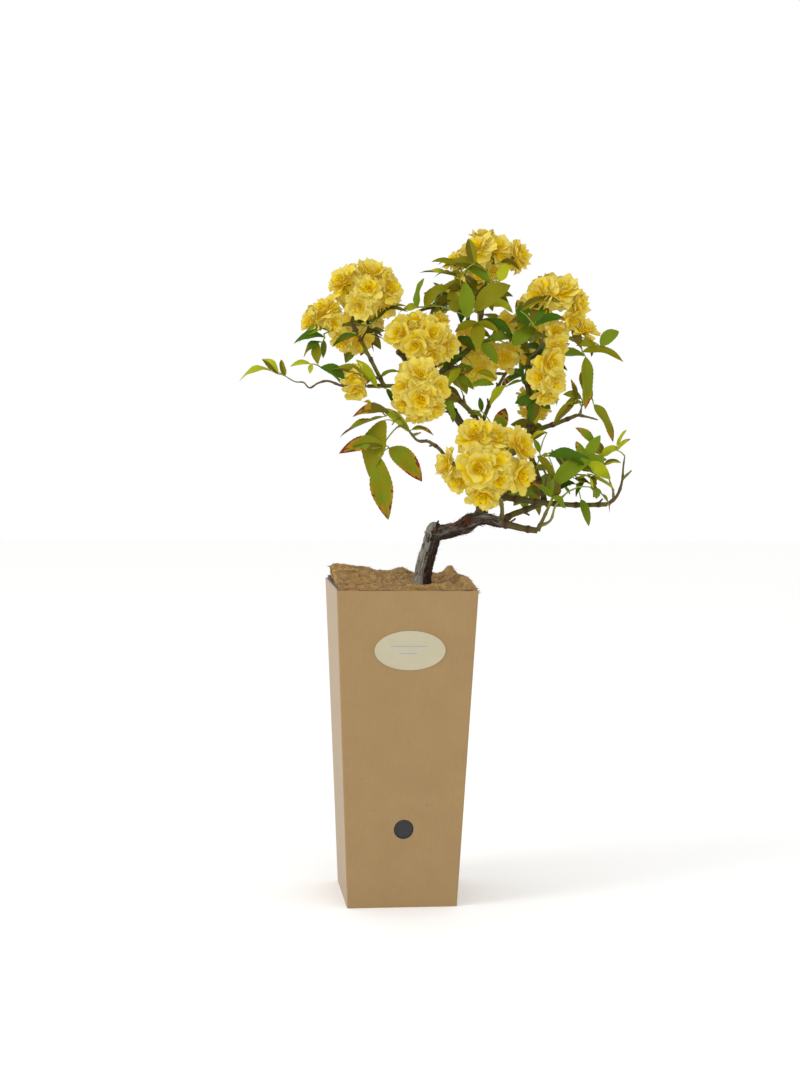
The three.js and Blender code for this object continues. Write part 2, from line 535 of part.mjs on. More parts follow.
// The directions of count blooms, spread over a cap round face by the golden angle.
function domeDirections({ blooms, face, cap, twist }) {
  const turn = new THREE.Quaternion().setFromUnitVectors(WORLD_UP, vec(face).normalize());
  return Array.from({ length: blooms }, (_, i) => {
    const polar = THREE.MathUtils.degToRad(cap) * Math.sqrt((blooms > 1 ? i + 0.35 : 0) / blooms);
    const around = i * GOLDEN_ANGLE + twist;
    const flat = Math.sin(polar);
    const direction = new THREE.Vector3(flat * Math.cos(around), flat * Math.sin(around), Math.cos(polar));
    return direction.applyQuaternion(turn);
  });
}

// One compound leaf as a solid: a thin stalk with the end blade on it, and a pair half way along a longer
// one.
function leafSolid(root, heading, size, plan, random) {
  const length = size * LEAF.stalk * (plan.leaflets > 3 ? 1.5 : 1);
  const hub = root.clone().addScaledVector(heading, length);
  hub.z -= plan.droop * length * 0.4;
  const ahead = hub.clone().sub(root).normalize();
  const stalk = solidOf(stalkGeometry(root, hub, LEAF.stalkRadius));
  ahead.z -= plan.droop;
  const roll = (random() - 0.5) * 1.1;
  const blade = solidOf(endBlade(size, plan.spread, random).applyMatrix4(headingFrame(hub, ahead, roll)));
  if (plan.leaflets === 3) return stalk.add(blade);
  const half = root.clone().lerp(hub, 0.45);
  const pair = solidOf(pairBlade(size, random).applyMatrix4(headingFrame(half, ahead, roll)));
  return stalk.add(blade).add(pair);
}

// The direction of a leaf that stands off its shoot by outward, around it, pulled the way the shoot's
// leaves aim.
function leafHeading(ahead, outward, around, aim) {
  const side = new THREE.Vector3().crossVectors(WORLD_UP, ahead);
  if (side.length() < 0.05) side.set(1, 0, 0);
  side.normalize();
  const over = new THREE.Vector3().crossVectors(ahead, side);
  const heading = ahead.clone().multiplyScalar(mix(1, 0.45, outward));
  heading.addScaledVector(side, outward * Math.cos(around));
  heading.addScaledVector(over, outward * Math.sin(around));
  return heading.addScaledVector(vec(aim), LEAF.pull).normalize();
}

const overlapsAny = (solid, others) => others.some((other) => !solid.intersect(other).isEmpty());

// The place nearest to point on any of the curves.
function nearestOn(curves, point) {
  const places = curves.flatMap((curve) => curve.getPoints(40));
  return places.sort((a, b) => a.distanceTo(point) - b.distanceTo(point))[0];
}

// The blooms of one shoot, and its bud, with their pedicels.
function growBlooms(plan, end, ahead, random) {
  const parts = domeDirections(plan).flatMap((direction) => {
    const size = BLOOM.radius * mix(0.9, 1.08, random());
    const seat = end.clone().addScaledVector(direction, plan.reach * mix(0.85, 1.15, random()));
    const turn = new THREE.Quaternion().setFromUnitVectors(WORLD_UP, direction);
    const bloom = bloomGeometry(size).applyQuaternion(turn).translate(seat.x, seat.y, seat.z);
    return [stalkGeometry(end, seat, BLOOM.pedicel), bloom];
  });
  if (plan.bud) {
    const turn = new THREE.Quaternion().setFromUnitVectors(WORLD_UP, ahead);
    parts.push(budGeometry(BLOOM.bud).applyQuaternion(turn).translate(end.x, end.y, end.z));
  }
  return parts.map(solidOf);
}

// One mass: its shoots, blooms and leaves joined, with its stem cut clear of its limb. A leaf that would
// touch a limb, another mass or what the mass already has turns on round its shoot, and is skipped after
// LEAF.tries.
function growMass(mass, index, grownLimbs, finished) {
  const random = seeded(1009 * (index + 1));
  const curves = [];
  for (const { path } of mass.shoots) {
    const places = path.map(vec);
    if (curves.length > 0) places[0] = nearestOn(curves, places[0]);
    curves.push(new THREE.CatmullRomCurve3(places));
  }
  const twigs = mass.shoots.map((plan, i) => {
    const places = curves[i].points.map((p) => p.toArray());
    return solidOf(twigGeometry(places, plan.radius));
  });
  const filled = mass.shoots.flatMap((plan, i) =>
    growBlooms(plan, curves[i].getPoint(1), curves[i].getTangent(1), random),
  );
  const obstacles = [...grownLimbs.values(), ...finished];
  const sizes = mass.shoots.map(({ size }) => size);
  const largestFirst = sizes.map((_, i) => i).sort((a, b) => sizes[b] - sizes[a]);
  for (const i of largestFirst) {
    const plan = mass.shoots[i];
    for (let leaf = 0; leaf < plan.leaves; leaf++) {
      const atTip = plan.tip && leaf === plan.leaves - 1;
      const along = atTip ? 1 : mix(0.25, 0.95, plan.leaves > 1 ? leaf / (plan.leaves - 1) : 0.6);
      const size = plan.size * mix(0.88, 1.12, random());
      for (let attempt = 0; attempt < LEAF.tries; attempt++) {
        const outward = atTip ? attempt * 0.12 : 1;
        const around = (leaf + attempt) * GOLDEN_ANGLE + plan.twist;
        const heading = leafHeading(curves[i].getTangent(along), outward, around, plan.aim);
        const made = leafSolid(curves[i].getPoint(along), heading, size, plan, random);
        if (overlapsAny(made, obstacles) || overlapsAny(made, filled)) continue;
        filled.push(made);
        break;
      }
    }
  }
  let solid = wasm.Manifold.union([...twigs, ...filled]);
  for (const obstacle of obstacles) if (overlapsAny(solid, [obstacle])) solid = solid.subtract(obstacle);
  return largestBody(solid);
}

// ---------------------------------------------------------------- the assembly

const material = (color, roughness) => new THREE.MeshStandardMaterial({ color, roughness, metalness: 0 });
const CARDBOARD = material(0xb08c5a, 0.85);
const BLACK_PLASTIC = material(0x1b1b1b, 0.5);
const PEAT = material(0x3a2a1e, 0.95);
const FIBRE = material(0xa88a5c, 0.95);
const STICKER = material(0xd8d0aa, 0.5);
const OLD_BARK = material(0x6c655c, 0.9);
const GREEN_BARK = material(0x5c6131, 0.7);
const FOLIAGE = material(0x7c8c1e, 0.6);

function named(name, geometry, finish) {
  const mesh = new THREE.Mesh(geometry, finish);
  mesh.name = name;
  return mesh;
}

const rose = new THREE.Group();
const potted = new THREE.Group();
const plant = new THREE.Group();
plant.rotation.z = PLANT_TURN;
rose.add(potted, plant);

const { solids: limbSolids, grown: grownLimbs } = growLimbs();
const plantTurn = new THREE.Matrix4().makeRotationZ(PLANT_TURN);
const trunkRoom = solidOf(geometryOf(trunkSolid(MAT.trunkRoom)).applyMatrix4(plantTurn));

potted.add(named("sleeve", geometryOf(sleeveSolid()), CARDBOARD));
potted.add(named("inner_pot", geometryOf(innerPotSolid()), BLACK_PLASTIC));
potted.add(named("root_ball", geometryOf(rootBallSolid()), PEAT));
potted.add(named("fibre_mat", geometryOf(matSolid(trunkRoom)), FIBRE));

const label = named("label", labelGeometry(), STICKER);
const faceSlope = Math.atan2((SLEEVE.topWidth - SLEEVE.footWidth) / 2, SLEEVE.height);
label.rotation.x = Math.PI / 2 + faceSlope;
label.position.set(LABEL.across, -sleeveWidth(LABEL.up) / 2 - CLEAR, LABEL.up);
potted.add(label);

for (const [name, solid] of limbSolids)
  plant.add(named(name, geometryOf(solid), name === "trunk" ? OLD_BARK : GREEN_BARK));

const finished = [];
MASSES.forEach((mass, index) => {
  const solid = growMass(mass, index, grownLimbs, finished);
  finished.push(solid);
  plant.add(named(mass.name, geometryOf(solid), FOLIAGE));
});

export default rose;
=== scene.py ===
# %% [markdown]
# # A yellow climbing rose in its nursery pot
#
# A small old rose stands in a tall tapered card sleeve. The sleeve holds a black pot, a root ball and a fibre mat.
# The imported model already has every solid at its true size. These cells give each solid the fine shape and finish
# of the real thing: bark, green shoots, toothed leaves, rosettes of thin petals, felt and kraft board.

# %% Load the fixed frame
import math

import bmesh
import bpy
import numpy as np
from mathutils import Matrix, Vector, noise
from mathutils.bvhtree import BVHTree


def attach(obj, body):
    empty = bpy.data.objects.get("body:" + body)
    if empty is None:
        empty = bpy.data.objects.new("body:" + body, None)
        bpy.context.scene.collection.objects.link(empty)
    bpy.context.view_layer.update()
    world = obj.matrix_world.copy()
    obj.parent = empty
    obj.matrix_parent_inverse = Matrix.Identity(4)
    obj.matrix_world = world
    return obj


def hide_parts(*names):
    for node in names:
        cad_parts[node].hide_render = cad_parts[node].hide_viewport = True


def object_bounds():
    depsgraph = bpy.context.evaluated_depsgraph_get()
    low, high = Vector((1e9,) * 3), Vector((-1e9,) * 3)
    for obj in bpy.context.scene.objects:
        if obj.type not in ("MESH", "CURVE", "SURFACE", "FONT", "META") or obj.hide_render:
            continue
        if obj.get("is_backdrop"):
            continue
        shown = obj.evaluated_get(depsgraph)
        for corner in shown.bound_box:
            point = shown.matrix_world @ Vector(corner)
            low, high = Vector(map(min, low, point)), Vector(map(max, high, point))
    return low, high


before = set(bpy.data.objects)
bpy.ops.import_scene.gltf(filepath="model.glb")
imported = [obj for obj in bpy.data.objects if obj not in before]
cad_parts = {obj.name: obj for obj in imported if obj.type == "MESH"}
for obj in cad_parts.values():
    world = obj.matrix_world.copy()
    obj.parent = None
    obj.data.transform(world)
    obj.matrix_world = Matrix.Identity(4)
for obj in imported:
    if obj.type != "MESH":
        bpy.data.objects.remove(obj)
CAD_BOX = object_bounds()
print("solids in the frame:", len(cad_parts))

# %% [markdown]
# ## Small helpers
#
# Lengths are written in millimetres, as on a workshop drawing, and turned to metres at the last moment. The random
# numbers come from one small seeded generator, so the rose is the same plant on every run.

# %% Lengths, colours and seeded chance
MM = 0.001
UP = Vector((0, 0, 1))
GOLDEN_ANGLE = math.pi * (3 - math.sqrt(5))


def mix(start, end, share):
    return start + (end - start) * share


def smoothstep(low, high, value):
    share = np.clip((np.asarray(value, float) - low) / (high - low), 0, 1)
    return share * share * (3 - 2 * share)


def linear(colour):
    """A colour written as sRGB hex, as the linear values that a shader takes."""
    parts = [int(colour[i : i + 2], 16) / 255 for i in (1, 3, 5)]
    return (*[c / 12.92 if c <= 0.04045 else ((c + 0.055) / 1.055) ** 2.4 for c in parts], 1.0)


def seeded(seed):
    """Numbers from 0 to 1, the same on every run."""
    state = seed

    def draw():
        nonlocal state
        state = state * 48271 % 2147483647
        return state / 2147483647

    return draw


def into_scene(name, data):
    """A new object that shows this data."""
    made = bpy.data.objects.new(name, data)
    bpy.context.scene.collection.objects.link(made)
    return made


# %% [markdown]
# ## Camera, light and floor
#
# A tall narrow subject is taken from a long way off with a portrait lens, so that its sides stay upright. The light
# is a white room with a large soft lamp to the left and a weaker one in front. Together they keep the petals bright
# and the bark readable.

# %% Camera
VIEW = {"azimuth": -6.877, "pitch": 4.081, "roll": 0.703, "distance": 1585.3, "height": 424.4, "aside": -0.25}
LENS = 62.93  # on a 36 mm sensor, whose long side is upright here


def aim_camera():
    turn, pitch, roll = (math.radians(VIEW[k]) for k in ("azimuth", "pitch", "roll"))
    right = Vector((math.cos(turn), math.sin(turn), 0))
    level = Vector((-math.sin(turn), math.cos(turn), 0))
    ahead = level * math.cos(pitch) - UP * math.sin(pitch)
    top = UP * math.cos(pitch) + level * math.sin(pitch)
    x = right * math.cos(roll) + top * math.sin(roll)
    y = top * math.cos(roll) - right * math.sin(roll)
    place = Matrix((x, y, -ahead)).transposed().to_4x4()
    eye = right * VIEW["aside"] - level * VIEW["distance"] + UP * VIEW["height"]
    place.translation = eye * MM
    return place


lens = bpy.data.cameras.new("studio_camera")
lens.lens = LENS
lens.sensor_width = 36
lens.clip_end = 50
camera = into_scene("studio_camera", lens)
camera.matrix_world = aim_camera()
bpy.context.scene.camera = camera
bpy.context.scene.view_settings.view_transform = "Standard"
print("camera stands", round(camera.location.length, 3), "m from the pot's foot")

# %% Light
LIT_PLACE = (0.02, 0, 0.3)  # in metres, between the crown and the sleeve


def add_lamp(name, direction, distance, size, watts):
    lamp = bpy.data.lights.new(name, "AREA")
    lamp.shape = "DISK"
    lamp.size = size
    lamp.energy = watts
    holder = into_scene(name, lamp)
    aim = Vector(LIT_PLACE)
    holder.location = aim + Vector(direction).normalized() * distance
    holder.rotation_euler = (holder.location - aim).to_track_quat("Z", "Y").to_euler()


add_lamp("key_lamp", (-0.9, -0.35, 0.5), 2.4, 0.9, 17)
add_lamp("fill_lamp", (0.25, -1, 0.35), 2.2, 1.2, 6)
world = bpy.data.worlds.new("white_room")
world.use_nodes = True
world.node_tree.nodes["Background"].inputs["Color"].default_value = (1, 1, 1, 1)
world.node_tree.nodes["Background"].inputs["Strength"].default_value = 1.0
bpy.context.scene.world = world

# %% [markdown]
# ## How a material is written
#
# Each finish is a Principled shader with a few pattern nodes. One helper adds a node with its settings and with
# what feeds it, so that each recipe below reads from top to bottom. Pattern scales are worked out from real sizes:
# a pattern of scale s on coordinates in metres repeats about every 1/s metres.

# %% The node helper


def feed(tree, node, feeds):
    """Gives each named input of a node its value, or links it to another node's output."""
    for socket, source in feeds.items():
        if isinstance(source, bpy.types.NodeSocket):
            tree.links.new(source, node.inputs[socket])
        else:
            node.inputs[socket].default_value = source


def add(tree, kind, feeds=None, **settings):
    """Adds one shader node: settings are its own, and feeds says what its inputs get."""
    made = tree.nodes.new("ShaderNode" + kind)
    for name, value in settings.items():
        setattr(made, name, value)
    feed(tree, made, feeds or {})
    return made


def start_material(name, colour, roughness, ior=1.5, gloss=0.5):
    """A Principled material with plain starting values: its node tree and its shader."""
    material = bpy.data.materials.new(name)
    material.use_nodes = True
    material.diffuse_color = linear(colour)
    tree = material.node_tree
    shader = tree.nodes["Principled BSDF"]
    feed(tree, shader, {"Base Color": linear(colour), "Roughness": roughness, "IOR": ior, "Specular IOR Level": gloss})
    return material, tree, shader


def per_metre(millimetres):
    """The scale of a pattern whose features lie this far apart."""
    return 1000 / millimetres


def mesh_of(shape, name):
    """The finished bmesh as a named mesh."""
    mesh = bpy.data.meshes.new(name)
    shape.to_mesh(mesh)
    shape.free()
    return mesh


# %% The floor
sweep_paper, tree, shader = start_material("pale_sweep_paper", "#fcfcfb", 0.9)
spot = add(tree, "TexCoord").outputs["Object"]
tooth = add(tree, "TexNoise", {"Vector": spot, "Scale": per_metre(2)})
lift = add(tree, "Bump", {"Height": tooth.outputs["Fac"], "Strength": 0.05, "Distance": 0.0002})
feed(tree, shader, {"Normal": lift.outputs["Normal"]})

shape = bmesh.new()
bmesh.ops.create_grid(shape, x_segments=1, y_segments=1, size=4)
floor_mesh = mesh_of(shape, "floor")
floor_mesh.materials.append(sweep_paper)
floor = into_scene("floor", floor_mesh)
floor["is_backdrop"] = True
print("floor is", round(floor.dimensions.x, 1), "m across")

# %% [markdown]
# ## Joining many small shapes
#
# A rose has thousands of petals, leaflets and stalks. Each is one small template made once with bmesh and then
# stamped many times: its corners are moved as one array, and everything of a kind ends up in one joined mesh. That
# is far lighter than thousands of objects.

# %% Templates and joined pieces


class Template:
    """A small mesh as arrays: its corners, its faces' corner numbers, and each face's corner count and finish."""

    def __init__(self, shape):
        shape.verts.index_update()
        shape.faces.index_update()
        self.places = np.array([v.co[:] for v in shape.verts])
        self.loops = np.array([v.index for f in shape.faces for v in f.verts])
        self.sizes = np.array([len(f.verts) for f in shape.faces])
        self.finish = np.array([f.material_index for f in shape.faces])
        self.polygons = [[v.index for v in f.verts] for f in shape.faces]
        shape.free()


class Joined:
    """Collects stamped templates, and makes one mesh object of them."""

    def __init__(self):
        self.places, self.loops, self.sizes, self.finish, self.notes = [], [], [], [], {}
        self.count = 0

    def stamp(self, template, places, finish=None, **notes):
        self.places.append(places)
        self.loops.append(template.loops + self.count)
        self.sizes.append(template.sizes)
        self.finish.append(template.finish if finish is None else finish)
        for name, values in notes.items():
            self.notes.setdefault(name, []).append(values)
        self.count += len(places)

    def make(self, name, materials, place):
        places, loops, sizes, finish = (np.concatenate(a) for a in (self.places, self.loops, self.sizes, self.finish))
        mesh = bpy.data.meshes.new(name)
        mesh.vertices.add(len(places))
        mesh.loops.add(len(loops))
        mesh.polygons.add(len(sizes))
        mesh.vertices.foreach_set("co", places.astype(np.float32).ravel())
        mesh.loops.foreach_set("vertex_index", loops.astype(np.int32))
        mesh.polygons.foreach_set("loop_start", np.concatenate([[0], np.cumsum(sizes)[:-1]]).astype(np.int32))
        mesh.polygons.foreach_set("material_index", finish.astype(np.int32))
        mesh.polygons.foreach_set("use_smooth", np.full(len(sizes), True))
        for note, values in self.notes.items():
            values = np.concatenate(values).astype(np.float32)
            vector = values.ndim == 2
            layer = mesh.attributes.new(note, "FLOAT_VECTOR" if vector else "FLOAT", "POINT")
            layer.data.foreach_set("vector" if vector else "value", values.ravel())
        mesh.update(calc_edges=True)
        mesh.validate()
        return finish_piece(name, mesh, materials, place)


def finish_piece(name, mesh, materials, place):
    """Puts a mesh where place says, gives it its materials and makes it ride with the pot."""
    mesh.transform(place)
    for material in materials:
        mesh.materials.append(material)
    piece = into_scene(name, mesh)
    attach(piece, "root")
    triangles = sum(len(p.vertices) - 2 for p in mesh.polygons)
    print(f"{name}: {triangles} triangles")
    return piece


# %% [markdown]
# ## The rose's plan
#
# A limb is a smooth curve through a few places with a radius at both ends. A mass of foliage is one stem with the
# shoots off it, and each shoot says how many leaves and blooms the rule gives it and which way they lean. The places
# are across, back and up in millimetres in the plant's own frame, which is turned a little in its pot.

# %% Trunk and limbs
PLANT_TURN = math.radians(-6.9)
PLANT = Matrix.Rotation(PLANT_TURN, 4, "Z") @ Matrix.Scale(MM, 4)
FOOT_PATH = [(18.6, 0, 256.3), (20.3, 0, 280), (25, -1, 299), (30.5, -1, 321.5)]
FOOT_RADIUS = (7.4, 6.5)
ARM_PATH = [(27, -1, 312), (37, -3, 313.5), (45, -5, 315), (53, -7, 318.5), (61, -8, 323.5), (72, -6, 325),
            (87, -4, 321)]
SHOULDER = 7  # how far down the rounded top of the stump begins
ARM_RADIUS = (6.7, 4.2)
SNAG_PATH = [(28.5, -2, 314), (30.5, -2.5, 319), (32.5, -3, 323)]
SNAG_RADIUS = (2.6, 0.7)
LIMBS = {
    "bough_low_right": (3.3, 2.5, [(84, -4, 322), (97, -8, 319), (108, -11, 317), (116, -13, 316)]),
    "bough_right": (2.6, 2.4, [
        (85, -3, 323), (97, 4, 329), (111, 8, 334), (122, 10, 340), (118, 14, 358), (111, 17, 380), (109, 18, 397)
    ]),
    "bough_right_upright": (2.5, 1.9, [
        (109, 18, 395), (110, 18, 416), (108, 17, 435), (107, 16, 450), (108, 14, 462)
    ]),
    "bough_right_side": (2.4, 1.6, [(109, 18, 393), (118, 13, 401), (133, 5, 407), (149, 0, 414)]),
    "bough_main_left": (4.4, 2.8, [
        (66, -6, 327), (74, 6, 342), (77, 15, 361), (68, 18, 381), (54, 18, 401), (40, 16, 420), (24, 13, 440),
        (6, 9, 458), (-5, 6, 467)
    ]),
    "bough_level_right": (2.9, 1.9, [
        (75, 12, 347), (90, 6, 343), (105, -1, 341), (125, -5, 339), (152, -9, 338), (175, -12, 339)
    ]),
    "bough_low_left": (2.3, 1.6, [
        (74, 16, 368), (70, 12, 391), (64, 6, 409), (53, 2, 421), (37, -2, 434), (22, -5, 439), (2, -6, 437),
        (-30, -6, 436)
    ]),
    "bough_left_rising": (1.8, 1.4, [(-15, -6, 436), (-27, -4, 459), (-39, 1, 482)]),
    "bough_top": (2.7, 2.2, [(24, 13, 440), (38, 18, 453), (51, 18, 464), (60, 18, 473), (66, 18, 492)]),
    "bough_centre": (1.9, 1.4, [(67, 9, 401), (72, 20, 414), (79, 28, 430), (87, 32, 445)]),
    "bough_front_low": (1.9, 1.4, [
        (76, 14, 362), (60, -6, 366), (46, -16, 371), (38, -22, 377), (31, -26, 385), (22, -28, 391)
    ]),
    "bough_back_left": (2.2, 1.6, [(54, 18, 401), (47, 36, 412), (40, 58, 430), (31, 76, 450)]),
    "bough_back_right": (2.1, 1.5, [(110, 18, 412), (112, 38, 420), (116, 58, 436), (118, 74, 454)]),
    "bough_back_top": (1.8, 1.4, [(58, 18, 471), (57, 36, 480), (56, 52, 490), (58, 64, 501)]),
}
print("limbs:", len(LIMBS))

# %% Masses of foliage and their shoots


def shoot(path, **extra):
    """One shoot, with what it carries. Its leaves go round it by the golden angle and lean the way that aim says."""
    plain = {
        "path": path, "radius": (1.3, 0.9), "leaves": 0, "size": 26, "aim": (0, 0, 0.2), "droop": 0.25,
        "tip": False, "blooms": 0, "face": (0, 0, 1), "reach": 14, "twist": 0,
    }
    return {**plain, **extra}


MASSES = {
    "foliage_far_left": [
        shoot([(-30, -6, 436), (-50, -8, 436), (-63, -8, 440), (-71, -9, 438), (-78, -10, 434), (-83, -10, 438.5),
               (-90, -11, 439), (-99, -12, 444)], radius=(1.4, 0.7)),
        shoot([(-49, -8, 437), (-59, -8, 446), (-68, -8, 451)]),
        shoot([(-40, -7, 437), (-45, -16, 443)]),
        shoot([(-40, -7, 437), (-40, -14, 447)], blooms=1),
        shoot([(-32, -6, 436), (-24, -13, 444)]),
    ],
    "foliage_upper_left": [
        shoot([(-39, 1, 482), (-43, 2, 491), (-36, 0, 505)], radius=(1.7, 1.2), leaves=2, size=22, blooms=8),
        shoot([(-42, 2, 488), (-55, -6, 488), (-63, -8, 489)], blooms=3),
        shoot([(-40, 2, 485), (-42, 12, 480), (-41, 17, 476)], blooms=2),
        shoot([(-43, 2, 490), (-58, -14, 483), (-66, -18, 479)],
              leaves=2, size=23, aim=(-0.5, 0.4, -0.6), droop=0.5),
        shoot([(-42, 2, 490), (-29, -8, 487), (-21, -12, 493)]),
    ],
    "foliage_drooping_left": [
        shoot([(22, -28, 391), (14, -29, 391), (8, -31, 397), (0, -32, 408), (-8, -34, 416)]),
        shoot([(4, -31, 402), (-2, -35, 403), (-7, -37, 399)], radius=(1.1, 0.9)),
        shoot([(-1, -32, 410), (-5, -40, 408), (-8, -44, 404)], radius=(1, 0.8)),
        shoot([(9, -31, 395), (16, -37, 398)]),
    ],
    "foliage_front": [
        shoot([(32, -3, 436), (27, -14, 429), (18, -23, 430)], leaves=2, size=22, aim=(0.3, 0.1, -0.8), blooms=6),
    ],
    "foliage_middle_left": [
        shoot([(6, 9, 458), (12, 3, 466), (16, 0, 470)], leaves=2, size=28, aim=(0, 0.3, 0.9), blooms=6, twist=1),
    ],
    "foliage_top": [
        shoot([(66, 18, 492), (69, 16, 511), (72, 14, 540)], radius=(1.9, 1.2), leaves=4, size=27, blooms=6),
        shoot([(68, 17, 506), (53, 8, 514), (42, 4, 522)], leaves=2, size=25, aim=(-0.2, 0.8, 0.2)),
        shoot([(69, 16, 513), (57, 18, 525), (52, 19, 532)], blooms=1),
        shoot([(70, 16, 514), (79, 10, 521)]),
        shoot([(67, 17, 499), (60, 2, 500)], leaves=4, size=30, aim=(0.1, -0.5, 0.3), droop=0.3, tip=True),
    ],
    "foliage_centre": [
        shoot([(87, 32, 445), (92, 34, 453), (95, 33, 464)], leaves=2, size=22, aim=(0.3, -0.6, 0.3)),
        shoot([(89, 33, 448), (76, 38, 450), (69, 39, 456)], leaves=2, size=24, blooms=5),
        shoot([(93, 34, 457), (94, 38, 473), (93, 40, 481)], leaves=4, size=24, aim=(0.5, -0.4, 0.5), blooms=2),
        shoot([(78, 38, 448), (62, 44, 469), (57, 46, 478)], leaves=2, size=24, aim=(0, -0.5, 0.2), blooms=1),
    ],
    "foliage_low_front": [
        shoot([(86, -5, 323), (85, -16, 338), (78, -26, 352)],
              radius=(2, 1.4), leaves=2, size=20, aim=(0.6, 0.1, 0.2), blooms=3),
        shoot([(84, -18, 342), (64, -24, 354), (51, -28, 362)], radius=(1.2, 1), blooms=2),
        shoot([(80, -24, 350), (76, -26, 370), (75, -26, 384)], radius=(1.2, 1), blooms=4),
        shoot([(83, -20, 345), (95, -24, 358), (99, -25, 366)], radius=(1.2, 1), blooms=3),
    ],
    "foliage_right_top": [
        shoot([(108, 14, 462), (116, 8, 470), (120, 4, 485), (123, 2, 503)], leaves=2, size=24, blooms=6, twist=2),
        shoot([(124, 3, 488), (143, -4, 479), (150, -6, 483)], leaves=1, size=20, blooms=1),
        shoot([(121, 3, 489), (111, 0, 494), (104, -2, 496)], leaves=3, size=22, aim=(-0.4, -0.3, 0.4), tip=True),
        shoot([(120, 4, 480), (136, 0, 480), (148, -6, 475), (157, -9, 476)],
              leaves=4, size=30, aim=(0.6, -0.1, -0.1), droop=0.3, tip=True),
        shoot([(148, -6, 475), (151, -9, 469)]),
    ],
    "foliage_right_column": [
        shoot([(108, 17, 439), (114, 10, 450), (118, 5, 464)], blooms=3),
        shoot([(112, 13, 443), (115, 6, 437)], leaves=1, size=22, aim=(0.6, 0.3, -0.2), blooms=3),
    ],
    "foliage_right_behind": [
        shoot([(110, 18, 418), (117, 27, 419)], leaves=1, size=22, aim=(-0.6, 0.1, -0.2), blooms=2),
    ],
    "foliage_right_side": [
        shoot([(149, 0, 414), (159, -3, 412), (166, -4, 410)]),
        shoot([(151, -1, 414), (152, -5, 421)]),
    ],
    "foliage_right_low": [
        shoot([(116, -13, 316), (123, -18, 333), (128, -20, 345), (131, -22, 356)],
              radius=(1.9, 1), leaves=6, size=30, aim=(0.8, -0.2, 0.2), droop=0.2, tip=True),
        shoot([(118, -15, 320), (126, -18, 325), (130, -24, 338), (139, -26, 349), (148, -28, 354)],
              leaves=1, size=24, aim=(0.2, -0.1, -0.2), droop=0.7, tip=True),
        shoot([(131, -22, 354), (143, -22, 362), (152, -20, 370)], leaves=4, size=25, aim=(0.6, 0, 0.1)),
    ],
    "foliage_right_inner": [
        shoot([(121, 10, 342), (124, 5, 361), (120, 2, 371), (122, 0, 380)],
              leaves=2, size=22, aim=(0.2, 0.4, -0.2)),
    ],
    "foliage_right_tip": [
        shoot([(175, -12, 339), (182, -14, 346), (186, -16, 358), (187, -16, 372), (188, -16, 380)],
              radius=(1.6, 0.9)),
        shoot([(187, -16, 361), (194, -16, 368)], radius=(1.2, 1.1)),
        shoot([(180, -13, 343), (179, -14, 350), (175, -15, 361)], radius=(1.1, 0.8)),
    ],
    "foliage_back_left": [
        shoot([(31, 76, 450), (26, 84, 462), (23, 86, 470)],
              leaves=3, size=27, aim=(0, 0.4, 0), blooms=4, face=(-0.1, 0.5, 0.8), reach=16),
        shoot([(29, 80, 455), (42, 90, 460), (50, 98, 466)], leaves=3, size=27, aim=(0.2, 0.5, 0.4), tip=True),
        shoot([(28, 81, 455), (18, 86, 446), (12, 90, 443)],
              leaves=2, size=26, blooms=2, face=(-0.6, 0.7, 0.1), reach=12),
    ],
    "foliage_back_right": [
        shoot([(118, 74, 454), (119, 79, 472), (114, 82, 486)],
              leaves=3, size=26, aim=(0, 0.4, 0), blooms=4, face=(0.1, 0.5, 0.85), reach=15),
        shoot([(118, 75, 459), (127, 86, 467), (131, 94, 471)], leaves=3, size=26, aim=(-0.2, 0.5, 0.2), tip=True),
        shoot([(118, 75, 457), (121, 88, 446), (123, 95, 438)],
              leaves=2, size=26, blooms=2, face=(-0.1, 0.8, -0.3), reach=12),
    ],
    "foliage_back_top": [
        shoot([(58, 64, 501), (60, 70, 514), (62, 72, 522)],
              leaves=3, size=26, aim=(0, 0.3, 0), blooms=3, face=(0, 0.5, 0.85), reach=13),
        shoot([(59, 66, 505), (45, 78, 506), (36, 85, 504)], leaves=3, size=26, aim=(-0.3, 0.4, 0), tip=True),
    ],
    "foliage_back_upper_left": [
        shoot([(-34, -1, 472), (-38, 22, 478), (-34, 40, 488)],
              leaves=4, size=26, aim=(-0.5, 0.5, 0.3), blooms=3, face=(0, 0.55, 0.8), reach=13),
    ],
    "foliage_back_low": [
        shoot([(77, 15, 361), (80, 38, 366), (78, 54, 376)],
              leaves=3, size=27, aim=(0, 0.3, 0), blooms=3, face=(0, 0.8, 0.5), reach=14),
        shoot([(80, 36, 366), (96, 50, 360), (108, 58, 358)], leaves=3, size=27, aim=(0.4, 0.4, 0), tip=True),
    ],
}
print("masses:", len(MASSES), "shoots:", sum(len(s) for s in MASSES.values()))

# %% [markdown]
# A truss is a crowd of blooms that grow into each other, so its blooms are set one by one: the seat and the radius
# in the same millimetres, then the way the bloom looks. A shoot's own number of blooms then only says which shoot
# carries them and how full of leaves it is. Trusses that aren't listed spread their blooms by the rule.

